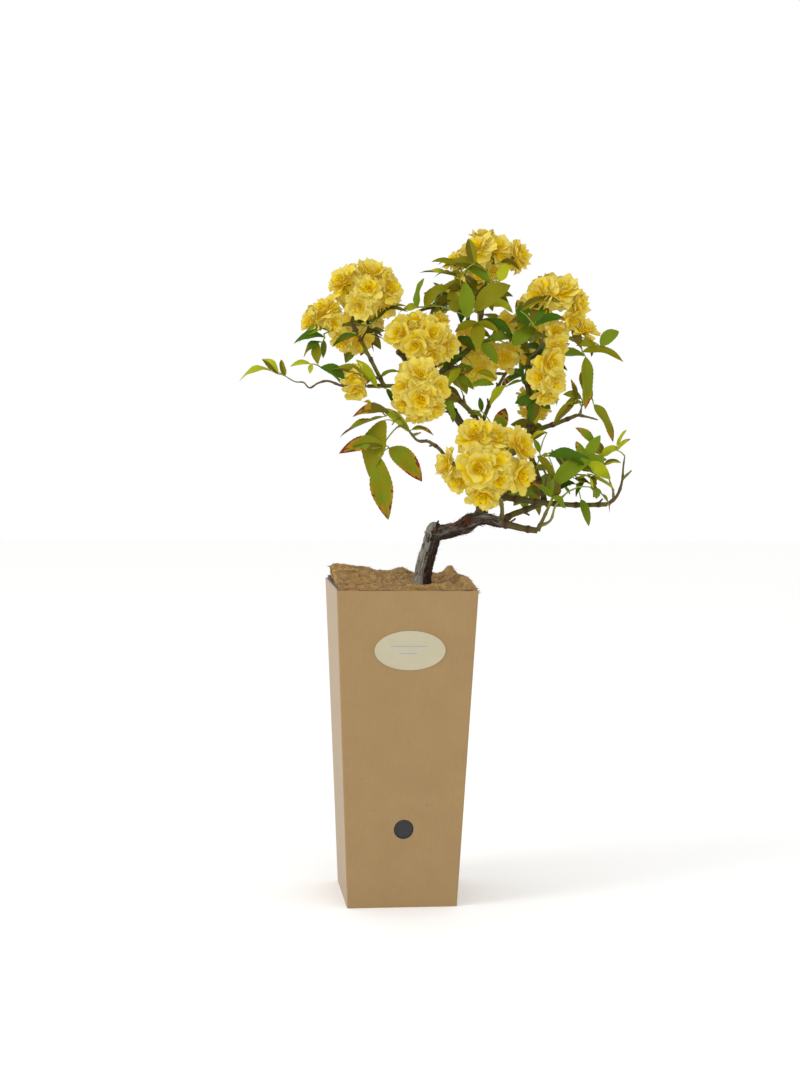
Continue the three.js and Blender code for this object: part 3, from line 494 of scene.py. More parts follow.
# %% Blooms set one by one
SET_BLOOMS = {
    "foliage_top": [
        (62, -4, 552, 14, -0.4, -0.6, 0.7), (77, 0, 553, 14, 0.2, -0.5, 0.8), (68, 14, 561, 12, 0, 0.1, 1),
        (95, 2, 547, 13, 0.8, -0.5, 0.3), (85, 16, 544, 11, 0.6, 0.3, 0.4), (43, 4, 542, 9, -0.7, -0.4, 0.5),
        (76, 4, 535, 9, 0, -0.5, -0.7), (57, 20, 548, 12, -0.5, 0.6, 0.5), (76, 28, 550, 13, 0.2, 0.9, 0.4),
    ],
    "foliage_right_top": [
        (116, -10, 513, 15, -0.6, -0.7, 0.3), (132, -8, 517, 15, 0.1, -0.6, 0.8), (145, -6, 507, 13, 0.8, -0.5, 0.2),
        (142, -8, 494, 10, 0.6, -0.6, -0.5), (124, 10, 524, 12, -0.2, 0.3, 0.9), (139, 18, 516, 13, 0.4, 0.8, 0.3),
        (121, 16, 507, 11, -0.5, 0.7, 0), (154, -6, 485, 10, 0.4, -0.4, 0.8),
    ],
    "foliage_right_column": [
        (128, -8, 483, 11, 0.3, -0.8, 0.4), (129, -12, 472, 10, 0.3, -0.8, -0.5), (123, -14, 457, 13, 0.5, -0.8, 0),
        (117, -12, 445, 11, -0.4, -0.8, -0.2), (126, -12, 442, 12, 0.5, -0.7, -0.3),
        (121, -8, 431, 10, 0.1, -0.6, -0.8),
    ],
    "foliage_right_behind": [
        (118, 28, 418, 10, 0.3, -0.3, -0.9), (110, 30, 416, 9, -0.4, -0.3, -0.9),
    ],
    "foliage_centre": [
        (67, 30, 451, 12, -0.2, -0.8, -0.3), (87, 32, 462, 12, 0.4, -0.8, 0.1), (58, 28, 466, 8, -0.4, -0.7, 0.3),
        (76, 38, 467, 10, 0, -0.6, 0.6), (94, 20, 470, 7, 0, -0.5, 0.8), (89, 24, 493, 8, 0.2, -0.7, 0.5),
        (54, 30, 485, 8, -0.3, -0.7, 0.4), (108, 32, 463, 7, 0.4, -0.7, 0),
    ],
    "foliage_middle_left": [
        (-1, -12, 480, 13, -0.6, -0.7, 0.1), (11, -10, 489, 12, -0.1, -0.6, 0.8), (24, -14, 480, 13, 0.3, -0.9, 0.2),
        (37, -10, 471, 11, 0.8, -0.6, -0.2), (25, -14, 464, 10, 0.2, -0.8, -0.6), (11, -18, 471, 12, -0.2, -0.9, -0.3),
        (31, -4, 492, 8, 0.5, -0.4, 0.8), (10, 8, 480, 12, -0.3, 0.6, 0.3),
    ],
    "foliage_front": [
        (15, -32, 445, 14, 0, -0.8, 0.6), (2, -30, 435, 11, -0.7, -0.7, 0.1), (28, -30, 435, 12, 0.7, -0.7, 0.1),
        (16, -36, 426, 14, 0.1, -1, -0.1), (2, -30, 422, 9, -0.5, -0.7, -0.5), (26, -32, 418, 10, 0.4, -0.7, -0.6),
        (12, -30, 412, 8, -0.1, -0.6, -0.9), (7, -20, 443, 10, -0.6, -0.3, 0.7),
    ],
    "foliage_low_front": [
        (61, -30, 396, 14, -0.3, -0.7, 0.7), (76, -28, 394, 14, 0.3, -0.6, 0.8), (98, -26, 387, 14, 0.7, -0.6, 0.3),
        (99, -28, 363, 14, 0.7, -0.7, -0.2), (64, -40, 369, 16, 0, -1, 0.1), (78, -38, 374, 13, 0.3, -0.9, 0.2),
        (40, -32, 371, 13, -0.9, -0.5, 0.1), (49, -34, 359, 11, -0.6, -0.7, -0.5),
        (69, -32, 347, 14, -0.1, -0.7, -0.7), (81, -36, 360, 12, 0.3, -0.9, -0.3),
    ],
    "foliage_upper_left": [
        (-50, -8, 523, 14, -0.6, -0.5, 0.6), (-39, 6, 528, 12, -0.2, 0.1, 1), (-26, -6, 529, 14, 0.2, -0.5, 0.9),
        (-13, -6, 517, 14, 0.8, -0.5, 0.3), (-36, -18, 504, 11, -0.2, -0.8, -0.6), (-16, -8, 504, 10, 0.5, -0.7, -0.4),
        (-29, -18, 517, 12, 0.1, -0.9, 0.3), (-45, 10, 513, 12, -0.5, 0.8, 0), (-24, 20, 519, 12, 0.4, 0.9, 0.2),
        (-76, -12, 488, 11, -0.8, -0.5, 0.1), (-66, -10, 498, 13, -0.3, -0.6, 0.8), (-72, 4, 494, 10, -0.5, 0.7, 0.3),
        (-58, -14, 489, 8, 0.5, -0.7, -0.2), (-51, 14, 475, 11, -0.4, -0.5, -0.7), (-38, 14, 475, 12, 0.4, -0.5, -0.7),
        (-45, 20, 480, 8, 0, -0.5, 0.3),
    ],
    "foliage_far_left": [
        (-40, -14, 443, 10, -0.1, -0.8, -0.5), (-39, -16, 433, 9, 0.1, -0.7, -0.7),
    ],
}
print("blooms set:", sum(len(blooms) for blooms in SET_BLOOMS.values()))

# %% [markdown]
# The leaflets that show best are set one by one, as a florist sets the last leaves of a spray. Each is a foot and a
# tip in the same millimetres, then its width and its tone. A width of 0 is a leaflet seen from its edge.

# %% Leaflets set one by one
SET_LEAFLETS = {
    "foliage_top": [
        (70, -10, 532, 31, -14, 539, 9, "olive"), (50, -4, 540, 28, -6, 543, 0, "bronze_and_painted_shade"),
        (45, -12, 536, 23, -16, 541, 5, "olive"), (47, -8, 528, 12, -12, 530, 0, "lime"),
        (49, -12, 530, 24, -18, 532, 0, "olive"), (59, -20, 539, 53, -24, 559, 9, "olive"),
        (81, -12, 525, 86, -17, 541, 10, "lime"), (73, -8, 523, 50, -14, 538, 10, "green"),
        (81, -8, 541, 98, -12, 537, 7, "bronze_and_painted_shade"), (60, -10, 500, 90, -15, 523, 17, "olive"),
        (74, -2, 506, 94, -6, 503, 8, "lime"), (54, -12, 494, 52, -18, 524, 13, "green"),
        (63, -5, 498, 69, -9, 523, 11, "bronze_and_painted_shade"), (45, -6, 499, 39, -10, 518, 10, "olive"),
        (18, -8, 503, 35, -14, 524, 12, "olive"), (28, -4, 505, 44, -8, 512, 7, "bronze_and_painted_shade"),
        (12, -8, 502, 12, -12, 528, 7, "green"), (18, -4, 502, -5, -6, 501, 0, "lime"),
        (49, -6, 518, 38, -10, 520, 6, "bronze_and_painted_shade"),
    ],
    "foliage_centre": [
        (94, 5, 477, 70, 0, 496, 9, "deep"), (96, 5, 476, 65, 1, 476, 7, "green"),
        (93, 4, 472, 112, -2, 488, 13, "green"), (61, 9, 476, 65, 6, 494, 7, "deep"),
        (62, 8, 467, 44, 4, 480, 8, "deep"), (67, 4, 473, 81, 0, 457, 10, "green"),
        (54, 4, 462, 31, 0, 450, 8, "deep"), (60, 0, 453, 48, -3, 446, 7, "deep"),
        (51, 2, 452, 37, -2, 437, 9, "lime"), (64, -2, 449, 80, -5, 443, 6, "olive"),
        (59, -2, 438, 79, -5, 438, 6, "green"), (36, 4, 437, 50, 0, 423, 7, "deep"),
        (88, 6, 438, 73, 2, 422, 8, "lime"), (89, 10, 437, 107, 7, 442, 0, "green"),
    ],
    "foliage_right_top": [
        (106, -8, 488, 95, -12, 510, 13, "deep"), (108, -16, 491, 119, -21, 508, 11, "deep"),
        (110, -16, 488, 136, -20, 495, 8, "deep"), (98, -18, 500, 131, -24, 511, 8, "olive"),
        (166, -11, 472, 181, -14, 486, 10, "green"), (151, -9, 467, 187, -14, 461, 8, "olive"),
        (150, -8, 472, 141, -12, 489, 8, "bronze_and_painted_shade"), (163, -10, 472, 146, -13, 474, 7, "olive"),
        (154, -9, 463, 157, -14, 418, 12, "olive"),
    ],
    "foliage_low_front": [
        (81, 4, 396, 88, 2, 420, 11, "olive"), (68, 4, 416, 66, 2, 428, 5, "deep"),
        (57, 4, 414, 70, 2, 412, 5, "green"), (44, 4, 446, 62, 2, 434, 6, "green"),
    ],
    "foliage_right_side": [
        (161, -2, 428, 148, -6, 449, 8, "olive"), (148, -5, 427, 143, -8, 444, 4, "bronze_and_painted_shade"),
        (153, -3, 424, 136, -8, 422, 8, "olive"), (146, -6, 425, 128, -10, 406, 7, "olive"),
        (162, -5, 423, 182, -9, 392, 10, "olive"), (152, -2, 428, 137, -8, 431, 6, "olive"),
    ],
    "foliage_right_tip": [
        (168, -16, 379, 183, -20, 389, 7, "lime"), (181, -17, 385, 192, -20, 395, 4, "lime"),
        (181, -16, 388, 188, -18, 404, 3, "lime"), (170, -18, 372, 185, -20, 376, 4, "lime"),
        (163, -16, 388, 147, -20, 404, 7, "green"), (169, -16, 382, 156, -20, 386, 6, "olive"),
        (169, -16, 382, 167, -18, 392, 4, "bronze_and_painted_shade"),
    ],
    "foliage_right_low": [
        (123, -24, 380, 167, -29, 368, 12, "deep"), (158, -25, 376, 121, -31, 350, 15, "green"),
        (147, -22, 356, 124, -26, 348, 11, "deep"), (155, -22, 359, 145, -25, 346, 6, "deep"),
        (156, -25, 374, 176, -29, 359, 10, "lime"), (148, -26, 361, 168, -29, 366, 0, "lime"),
        (145, -24, 361, 169, -27, 351, 0, "olive"), (117, -20, 379, 135, -23, 383, 0, "lime"),
        (116, -19, 382, 111, -21, 394, 5, "green"), (123, -8, 399, 106, -12, 391, 5, "lime"),
        (114, -21, 379, 131, -25, 356, 8, "olive"), (152, -13, 343, 160, -16, 320, 8, "green"),
        (114, -14, 369, 105, -17, 348, 7, "olive"),
    ],
    "foliage_upper_left": [
        (-65, -20, 476, -91, -25, 473, 7, "deep"), (-67, -20, 472, -85, -24, 463, 7, "deep"),
        (-71, -20, 472, -73, -22, 453, 8, "olive"), (-66, -19, 474, -66, -21, 459, 5, "deep"),
        (-61, -20, 481, -89, -24, 479, 7, "green"), (-37, -14, 478, -61, -18, 470, 5, "deep"),
        (-26, -12, 490, 2, -16, 505, 6, "deep"), (-23, -11, 490, 1, -13, 509, 4, "olive"),
    ],
    "foliage_far_left": [
        (-109, -13, 447, -138, -16, 443, 8, "lime"), (-104, -13, 445, -117, -16, 460, 7, "lime"),
        (-98, -13, 444, -103, -15, 457, 6, "olive"), (-77, -14, 454, -95, -17, 452, 4, "lime"),
        (-76, -14, 454, -78, -16, 446, 4, "lime"), (-104, -13, 445, -114, -14, 451, 3, "lime"),
        (-48, -16, 442, -69, -20, 452, 10, "deep"), (-27, -18, 440, -60, -22, 452, 8, "olive"),
        (-21, -12, 435, -39, -16, 459, 8, "lime"), (-19, -6, 443, -3, -9, 450, 4, "green"),
        (-13, -8, 434, -7, -10, 422, 5, "deep"),
    ],
    "foliage_drooping_left": [
        (-19, -40, 378, -12, -42, 323, 20, "olive"), (-10, -38, 385, 19, -40, 357, 18, "olive"),
        (-13, -40, 387, -53, -42, 380, 13, "olive"), (-14, -37, 408, -31, -38, 360, 24, "olive"),
        (-10, -34, 414, -41, -37, 413, 9, "bronze_and_painted_shade"), (-13, -34, 411, -52, -36, 391, 0, "olive"),
        (-24, -33, 420, -32, -34, 425, 3, "lime"), (7, -31, 398, -18, -33, 418, 7, "lime"),
        (8, -31, 400, 27, -33, 398, 5, "lime"),
    ],
}
print("leaflets set:", sum(len(leaflets) for leaflets in SET_LEAFLETS.values()))

# %% [markdown]
# ## Smooth curves and tubes
#
# Every limb, twig and stalk is a tube on a smooth curve. The curve is a centripetal Catmull-Rom spline, which
# passes through its places without loops. A tube starts as a bmesh grid rolled up, with both its ends drawn to a
# point. Each corner also notes where it lies along and around the limb, so that bark can follow the wood.

# %% A smooth curve through places
CURVE_STEPS = 200  # the steps in which a curve's length is measured


class Curve:
    def __init__(self, places):
        self.places = [Vector(p) for p in places]
        self.ends = [self.places[0] * 2 - self.places[1], *self.places, self.places[-1] * 2 - self.places[-2]]
        steps = [self.point(i / CURVE_STEPS) for i in range(CURVE_STEPS + 1)]
        lengths = [0, *np.cumsum([(b - a).length for a, b in zip(steps, steps[1:])])]
        self.shares = np.array(lengths) / lengths[-1]
        self.length = lengths[-1]

    def point(self, share):
        span = min(int(share * (len(self.places) - 1)), len(self.places) - 2)
        t = share * (len(self.places) - 1) - span
        p0, p1, p2, p3 = self.ends[span : span + 4]
        g0, g1, g2 = (max((b - a).length ** 0.5, 1e-4) for a, b in ((p0, p1), (p1, p2), (p2, p3)))
        out = ((p1 - p0) / g0 - (p2 - p0) / (g0 + g1) + (p2 - p1) / g1) * g1
        into = ((p2 - p1) / g1 - (p3 - p1) / (g1 + g2) + (p3 - p2) / g2) * g1
        bend = (p2 - p1) * 3 - out * 2 - into
        return p1 + out * t + bend * t * t + ((p1 - p2) * 2 + out + into) * t**3

    def tangent(self, share):
        return (self.point(min(1, share + 1e-4)) - self.point(max(0, share - 1e-4))).normalized()

    def at(self, share):
        """The place at this share of the curve's length."""
        return self.point(np.interp(share, self.shares, np.linspace(0, 1, CURVE_STEPS + 1)))


# %% A tube on a curve
rolled = {}


def rolled_grid(sides, rings):
    """A grid rolled up to a closed tube. Its corners hold (share around, share along)."""
    if (sides, rings) not in rolled:
        shape = bmesh.new()
        bmesh.ops.create_grid(shape, x_segments=sides, y_segments=rings, size=0.5)
        for v in shape.verts:
            around, along = v.co.x + 0.5, v.co.y + 0.5
            radius = 0 if along < 1e-4 or along > 1 - 1e-4 else 1
            angle = 2 * math.pi * around
            v.co = (radius * math.cos(angle), radius * math.sin(angle), along)
        bmesh.ops.remove_doubles(shape, verts=shape.verts, dist=1e-5)
        bmesh.ops.recalc_face_normals(shape, faces=shape.faces)
        rolled[sides, rings] = Template(shape)
    return rolled[sides, rings]


def steady_frames(places):
    """Two directions across the curve at each place, which don't spin as it bends."""
    ahead = [(places[min(i + 1, len(places) - 1)] - places[max(i - 1, 0)]).normalized() for i in range(len(places))]
    across = ahead[0].orthogonal().normalized()
    pairs = []
    for direction in ahead:
        across = (across - direction * across.dot(direction)).normalized()
        pairs.append((across.copy(), direction.cross(across)))
    return np.array([p[0][:] for p in pairs]), np.array([p[1][:] for p in pairs])


def tube(curve, radius_at, sides, step, relief=None):
    """A tube with round ends: its template, its corners, and its grain, which is where each lies in the wood."""
    body = max(3, round(curve.length / step))
    shares = [0, 0.002, *np.linspace(0.01, 0.99, body), 0.998, 1]
    template = rolled_grid(sides, len(shares) - 1)
    ring = np.rint(template.places[:, 2] * (len(shares) - 1)).astype(int)
    centres = [curve.at(s) for s in shares]
    normal, binormal = steady_frames(centres)
    along = np.array(shares)[ring]
    angle = np.arctan2(template.places[:, 1], template.places[:, 0])
    open_end = np.hypot(template.places[:, 0], template.places[:, 1])
    rounded = np.array([0, 0.7, *[1] * body, 0.7, 0])[ring] * open_end
    radius = np.array([radius_at(s) for s in shares])[ring]
    grain = np.stack([radius * np.cos(angle), radius * np.sin(angle), along * curve.length], 1)
    if relief is not None:
        radius = radius * relief(grain)
    centre = np.array([c[:] for c in centres])[ring]
    offset = normal[ring] * np.cos(angle)[:, None] + binormal[ring] * np.sin(angle)[:, None]
    return template, centre + offset * (radius * rounded)[:, None], grain


def taper(radii, swell=0.0, root=2.0, length=1.0):
    """A limb's radius at a share of its length, with a collar where it leaves its parent."""
    return lambda share: mix(radii[0], radii[1], share) * (1 + swell * math.exp(-share * length / root))


# %% [markdown]
# ## Old wood
#
# The trunk is an old stump that leans and then turns sharply to one side. Its bark is grey and smooth on the side
# that faces the key lamp, dark and split along the grain on the other side, and it peels in shreds along the arm. That
# dark side is partly the bark's own colour and partly painted shade. The relief is real shape here and not a bump,
# because it shows in the outline.

# %% Trunk and arm with the bark's relief


def bark_relief(grain):
    """Long ridges that follow the grain, deep splits, flakes and a few lumps."""
    relief = np.empty(len(grain))
    for i, (x, y, z) in enumerate(grain):
        ridge = noise.noise((x * 0.45, y * 0.45, z * 0.07))
        split = abs(noise.noise((x * 0.8 + 7, y * 0.8, z * 0.12)))
        flake = noise.noise((x * 1.6, y * 1.6, z * 0.5 + 3))
        lump = noise.noise((x * 0.12, y * 0.12, z * 0.09 + 9))
        relief[i] = 1 + 0.13 * ridge - 0.1 * max(0, 0.16 - split) / 0.16 + 0.09 * flake + 0.14 * lump
    return relief


old_wood = Joined()
foot = Curve(FOOT_PATH)
arm = Curve(ARM_PATH)
snag = Curve(SNAG_PATH)


def foot_radius(share):
    """The stump's radius: flared where it meets the mat, and rounded off at its top."""
    flare = 0.08 * math.exp(-max(0, share * foot.length - 11) / 12)
    shoulder = max(0, 1 - (1 - share) * foot.length / SHOULDER)
    return mix(*FOOT_RADIUS, share) * (1 + flare) * math.sqrt(1 - 0.92 * shoulder**2)


def arm_radius(share):
    """The arm's radius, with the knob half way along it."""
    knob = 0.3 * math.exp(-(((share - 0.5) / 0.1) ** 2))
    return mix(*ARM_RADIUS, share) * (1 + knob)


for curve, radius_at, sides in ((foot, foot_radius, 84), (arm, arm_radius, 84), (snag, taper(SNAG_RADIUS), 20)):
    template, places, grain = tube(curve, radius_at, sides, 0.7, bark_relief)
    along = grain[:, 2] / curve.length
    outward = places - np.array([curve.point(s)[:] for s in along])
    outward /= np.maximum(np.linalg.norm(outward, axis=1), 1e-6)[:, None]
    if curve is foot:
        # The side towards the key lamp is grey bark, and the side turned from it is dark bark with painted shade.
        shade, peel = smoothstep(-0.45, -0.1, outward @ np.array([0.97, 0.25, 0])), 0 * along
    else:
        # The arm is dark, and grey on its top near its end, with grey plates here and there and one peeled place.
        top = outward[:, 2]
        shade = 1 - 0.8 * smoothstep(0.55, 0.75, along) * smoothstep(-0.2, 0.5, top)
        peel = np.exp(-(((along - 0.4) / 0.13) ** 2)) * smoothstep(0.1, 0.7, top)
        plates = np.array([noise.noise((x * 0.3, y * 0.3, z * 0.05 + 4)) for x, y, z in grain])
        shade = shade - 0.5 * smoothstep(0.02, 0.2, plates) * (shade > 0.6)
    old_wood.stamp(template, places, grain=grain, shade=shade, peel=peel)

# %% Shreds of peeling bark
SHREDS = 380
SHRED_STATIONS = 60  # places along a limb where a shred can read which way is outward


def ribbon_template(rows, columns=1):
    shape = bmesh.new()
    bmesh.ops.create_grid(shape, x_segments=columns, y_segments=rows, size=0.5)
    return Template(shape)


RIBBON = ribbon_template(5)


def shred(curve, radius_at, share, angle, length, width, lift, chance):
    """A strip of bark that lies along the limb and stands off it at one end."""
    rows = RIBBON.places[:, 1] + 0.5
    span = length / curve.length
    shares = np.clip(share + (rows - 0.5) * span, 0.01, 0.99)
    points = [curve.at(s) for s in shares]
    normal, binormal = steady_frames([curve.at(s) for s in np.linspace(0, 1, SHRED_STATIONS)])
    places = []
    for point, s, row, x in zip(points, shares, rows, RIBBON.places[:, 0]):
        at = round(s * (SHRED_STATIONS - 1))
        turn = angle + x * width / radius_at(s) * (1 - 0.6 * row) + 0.25 * (row - 0.5) * (chance - 0.5)
        radius = radius_at(s) * 1.03 + lift * row**2
        outward = normal[at] * math.cos(turn) + binormal[at] * math.sin(turn)
        places.append(np.array(point[:]) + outward * radius)
    return np.array(places)


shreds = Joined()
draw = seeded(4211)
for number in range(SHREDS):
    curve, radius_at, low, high = (foot, foot_radius, 0.3, 0.97) if number % 3 == 0 else (arm, arm_radius, 0.02, 0.9)
    places = shred(curve, radius_at, mix(low, high, draw()), 2 * math.pi * draw(), mix(3, 8, draw()),
                   mix(0.7, 2.2, draw()), mix(0.3, 2.3, draw() ** 2), draw())
    grain = np.stack([places[:, 0] * 0.6, places[:, 1] * 0.6, places[:, 2] * 3], 1)
    # Shreds on the stump's side away from the key lamp take dark bark with painted shade, those on the arm take the
    # arm's dark bark, and the rest are grey.
    dark_bark_and_painted_shade = places[:, 0].mean() > np.interp(places[:, 2].mean(), [256, 320], [17, 25]) or curve is arm
    shade = np.full(len(places), mix(0.7, 1, draw()) if dark_bark_and_painted_shade else 0.1)
    shreds.stamp(RIBBON, places, grain=grain, shade=shade, peel=np.full(len(places), 0.5 * (draw() < 0.2)))

# %% [markdown]
# Old rose bark is dull fibrous cork. Weathered plates are pale grey, the splits between them dark brown, and fresh
# places where a strip has come off are red brown. Where the shade note is high the bark takes the dark brown, and on
# the stump's side away from the key lamp that dark is painted shade as well as the bark's own. The pattern reads the
# grain that the tubes carry, in millimetres, so the streaks run along the trunk and turn with it into the arm.

# %% Bark material
old_bark, tree, shader = start_material("weathered_rose_bark", "#6c665c", 0.88, gloss=0.25)
grain = add(tree, "Attribute", attribute_name="grain")
shade = add(tree, "Attribute", attribute_name="shade")
peel = add(tree, "Attribute", attribute_name="peel")
stretch = add(tree, "Mapping", {"Vector": grain.outputs["Vector"], "Scale": (1, 1, 0.16)})
streaks = add(tree, "TexNoise", {"Vector": stretch.outputs["Vector"], "Scale": 0.9, "Detail": 6})
patches = add(tree, "TexNoise", {"Vector": stretch.outputs["Vector"], "Scale": 0.34, "Detail": 2})
plates = add(tree, "ValToRGB", {"Fac": streaks.outputs["Fac"]})
dark = add(tree, "ValToRGB", {"Fac": streaks.outputs["Fac"]})
for ramp, stops in ((plates, [(0.3, "#575146"), (0.55, "#8b877c")]), (dark, [(0.36, "#190d06"), (0.7, "#3f2f20")])):
    for stop, (position, colour) in zip(ramp.color_ramp.elements, stops):
        stop.position, stop.color = position, linear(colour)
# Grey bark where the shade note is low and dark bark where it is high; on the stump's far side from the key lamp that
# dark is painted shade.
bark_with_painted_shade = add(tree, "Mix", {0: shade.outputs["Fac"], 6: plates.outputs["Color"],
                7: dark.outputs["Color"]}, data_type="RGBA")
fresh = add(tree, "MapRange", {"Value": patches.outputs["Fac"], "From Min": 0.42, "From Max": 0.55})
peeled = add(tree, "Math", {0: fresh.outputs["Result"], 1: peel.outputs["Fac"]}, operation="MULTIPLY")
bark_colour = add(tree, "Mix", {0: peeled.outputs["Value"], 6: bark_with_painted_shade.outputs[2],
                  7: linear("#7a3315")}, data_type="RGBA")
fine = add(tree, "TexNoise", {"Vector": stretch.outputs["Vector"], "Scale": 3.2, "Detail": 4})
lift = add(tree, "Bump", {"Height": fine.outputs["Fac"], "Strength": 0.7, "Distance": 0.0006})
feed(tree, shader, {"Base Color": bark_colour.outputs[2], "Normal": lift.outputs["Normal"]})

# %% The trunk's two pieces
trunk_piece = old_wood.make("old_wood", [old_bark], PLANT)
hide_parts("trunk")
shred_piece = shreds.make("bark_shreds", [old_bark], PLANT)
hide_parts("trunk")

# %% [markdown]
# ## Young wood
#
# The boughs are one to four years old. They are brown grey near the trunk and olive green further out, with a
# swollen node every two centimetres or so. Each node has a small bud or the brown stub of a pruned twig.

# %% Boughs with their nodes
STUB_RADIUS = (0.95, 0.75)
young_wood = Joined()


def noded(radii, length, nodes):
    """A bough's radius, with a collar at its root and a swelling at each node."""
    plain = taper(radii, 0.35, 2.5, length)

    def radius_at(share):
        swelling = sum(math.exp(-(((share - node) * length / 1.5) ** 2)) for node in nodes)
        return plain(share) * (1 + 0.3 * min(1, swelling))

    return radius_at


def wavy(grain):
    """Slight hollows and ribs, so that no bough is a perfect cone."""
    return np.array([1 + 0.1 * noise.noise((x * 0.4, y * 0.4, z * 0.13)) for x, y, z in grain])


def stub_at(curve, share, angle, length, radius):
    """The curve of a short stub or bud that leaves a limb at a node."""
    root, ahead = curve.point(share), curve.tangent(share)
    across = ahead.orthogonal().normalized()
    outward = Matrix.Rotation(angle, 3, ahead) @ across
    lean = (outward + ahead * 0.7).normalized()
    middle, end = root + lean * (radius + length * 0.5), root + lean * (radius + length)
    return Curve([root + outward * radius * 0.4, middle, end])


draw = seeded(977)
for name, (thick, thin, path) in LIMBS.items():
    curve = Curve(path)
    spacing = mix(15, 20, draw())
    count = max(1, round(curve.length / spacing))
    nodes = [(i + mix(0.35, 0.65, draw())) / count for i in range(count)]
    radius_at = noded((thick, thin), curve.length, nodes)
    template, places, grain = tube(curve, radius_at, 14, 1.2, wavy)
    age = np.clip((thick - 1.6) / 3.8 + 0.12 - 0.5 * grain[:, 2] / 150, 0, 1)
    knot = sum(np.exp(-(((grain[:, 2] / curve.length - node) * curve.length / 1.8) ** 2)) for node in nodes)
    young_wood.stamp(template, places, grain=grain, age=age, knot=np.clip(knot, 0, 1))
    for i, node in enumerate(nodes):
        length = mix(3, 7, draw()) if draw() < 0.4 else mix(1, 2, draw())
        stub = stub_at(curve, node, i * GOLDEN_ANGLE + 4 * draw(), length, radius_at(node))
        template, places, grain = tube(stub, taper(STUB_RADIUS), 8, 1)
        tip = smoothstep(0.5, 0.9, grain[:, 2] / stub.length)
        young_wood.stamp(template, places, grain=grain, age=np.full(len(places), 0.4), knot=tip)

# %% [markdown]
# Young rose bark is smooth and slightly waxy, so it is less rough than the trunk. Its colour runs from olive green
# to brown grey by the age that each tube notes, with brown at the nodes and fine pale streaks along it.

# %% Young bark material
young_bark, tree, shader = start_material("young_rose_bark", "#5c6131", 0.62, gloss=0.2)
grain = add(tree, "Attribute", attribute_name="grain")
age = add(tree, "Attribute", attribute_name="age")
knot = add(tree, "Attribute", attribute_name="knot")
stretch = add(tree, "Mapping", {"Vector": grain.outputs["Vector"], "Scale": (1, 1, 0.22)})
streaks = add(tree, "TexNoise", {"Vector": stretch.outputs["Vector"], "Scale": 1.1, "Detail": 4})
aged = add(tree, "Math", {0: streaks.outputs["Fac"], 1: -0.45}, operation="ADD")
spread = add(tree, "Math", {0: aged.outputs["Value"], 1: 1.6, 2: age.outputs["Fac"]},
             operation="MULTIPLY_ADD", use_clamp=True)
green = add(tree, "ValToRGB", {"Fac": spread.outputs["Value"]})
green.color_ramp.elements.new(0.5)
for stop, position, colour in zip(green.color_ramp.elements, (0.05, 0.5, 0.95), ("#635f14", "#4c451a", "#574c3a")):
    stop.position, stop.color = position, linear(colour)
brown = add(tree, "Mix", {0: knot.outputs["Fac"], 6: green.outputs["Color"], 7: linear("#43291c")}, data_type="RGBA")
lift = add(tree, "Bump", {"Height": streaks.outputs["Fac"], "Strength": 0.4, "Distance": 0.0003})
feed(tree, shader, {"Base Color": brown.outputs[2], "Normal": lift.outputs["Normal"]})

bough_piece = young_wood.make("young_wood", [young_bark], PLANT)
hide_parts(*LIMBS)

# %% [markdown]
# ## Leaflets
#
# A leaf of this rose is compound: leaflets on a thin stalk, one ahead and the rest in pairs. A leaflet is a long
# pointed oval with small teeth, folded up along its rib and arched down to its tip. Four templates are enough for
# the small ones, because each leaf is turned, rolled and sized on its own. The big ones get a template with more
# faces, so that their teeth show. Autumn has browned some tips and margins.

# %% Leaflet templates
LEAF_ROWS, LEAF_COLUMNS = 12, 4
GREENS = ("lime", "olive", "green", "deep", "bronze_and_painted_shade")
GOLD, SCORCH = len(GREENS), len(GREENS) + 1


def leaflet_template(width, fold, arch, curl, wave, rows=LEAF_ROWS, columns=LEAF_COLUMNS):
    """A leaflet one unit long on +X, its face along +Z."""
    shape = bmesh.new()
    bmesh.ops.create_grid(shape, x_segments=rows, y_segments=columns, size=0.5)
    shares = np.array([(v.co.x + 0.5, v.co.y * 2) for v in shape.verts])
    for v in shape.verts:
        along, across = v.co.x + 0.5, v.co.y * 2
        row = round(along * rows)
        profile = along**0.72 * (1 - along) ** 0.9 / 0.325
        tooth = 1.05 if row % 2 and abs(across) > 0.9 else 1
        half = width / 2 * max(profile, 0.03) * tooth
        y = across * half
        z = fold * abs(y) - arch * along**2 + wave * math.sin(along * 9) * across * half
        v.co = (along - curl * along**4 * 0.2, y, z - curl * along**4 * 0.3)
    template = Template(shape)
    template.shares = np.array([shares[p].mean(0) for p in template.polygons])  # along the rib, and across it
    return template


LEAFLETS = [
    leaflet_template(0.44, 0.3, 0.16, 0.1, 0.15),
    leaflet_template(0.48, 0.25, 0.2, 0.3, 0.2),
    leaflet_template(0.4, 0.5, 0.1, 0.2, 0.1),
    leaflet_template(0.45, 0.2, 0.26, 0.5, 0.3),
]
BIG_LEAFLET = leaflet_template(0.4, 0.28, 0.1, 0.2, 0.2, rows=26, columns=10)
BIG_LEAFLET_SIZE = 34  # a leaflet longer than this is a big one
print("faces in a leaflet:", len(LEAFLETS[0].sizes), "and in a big one:", len(BIG_LEAFLET.sizes))


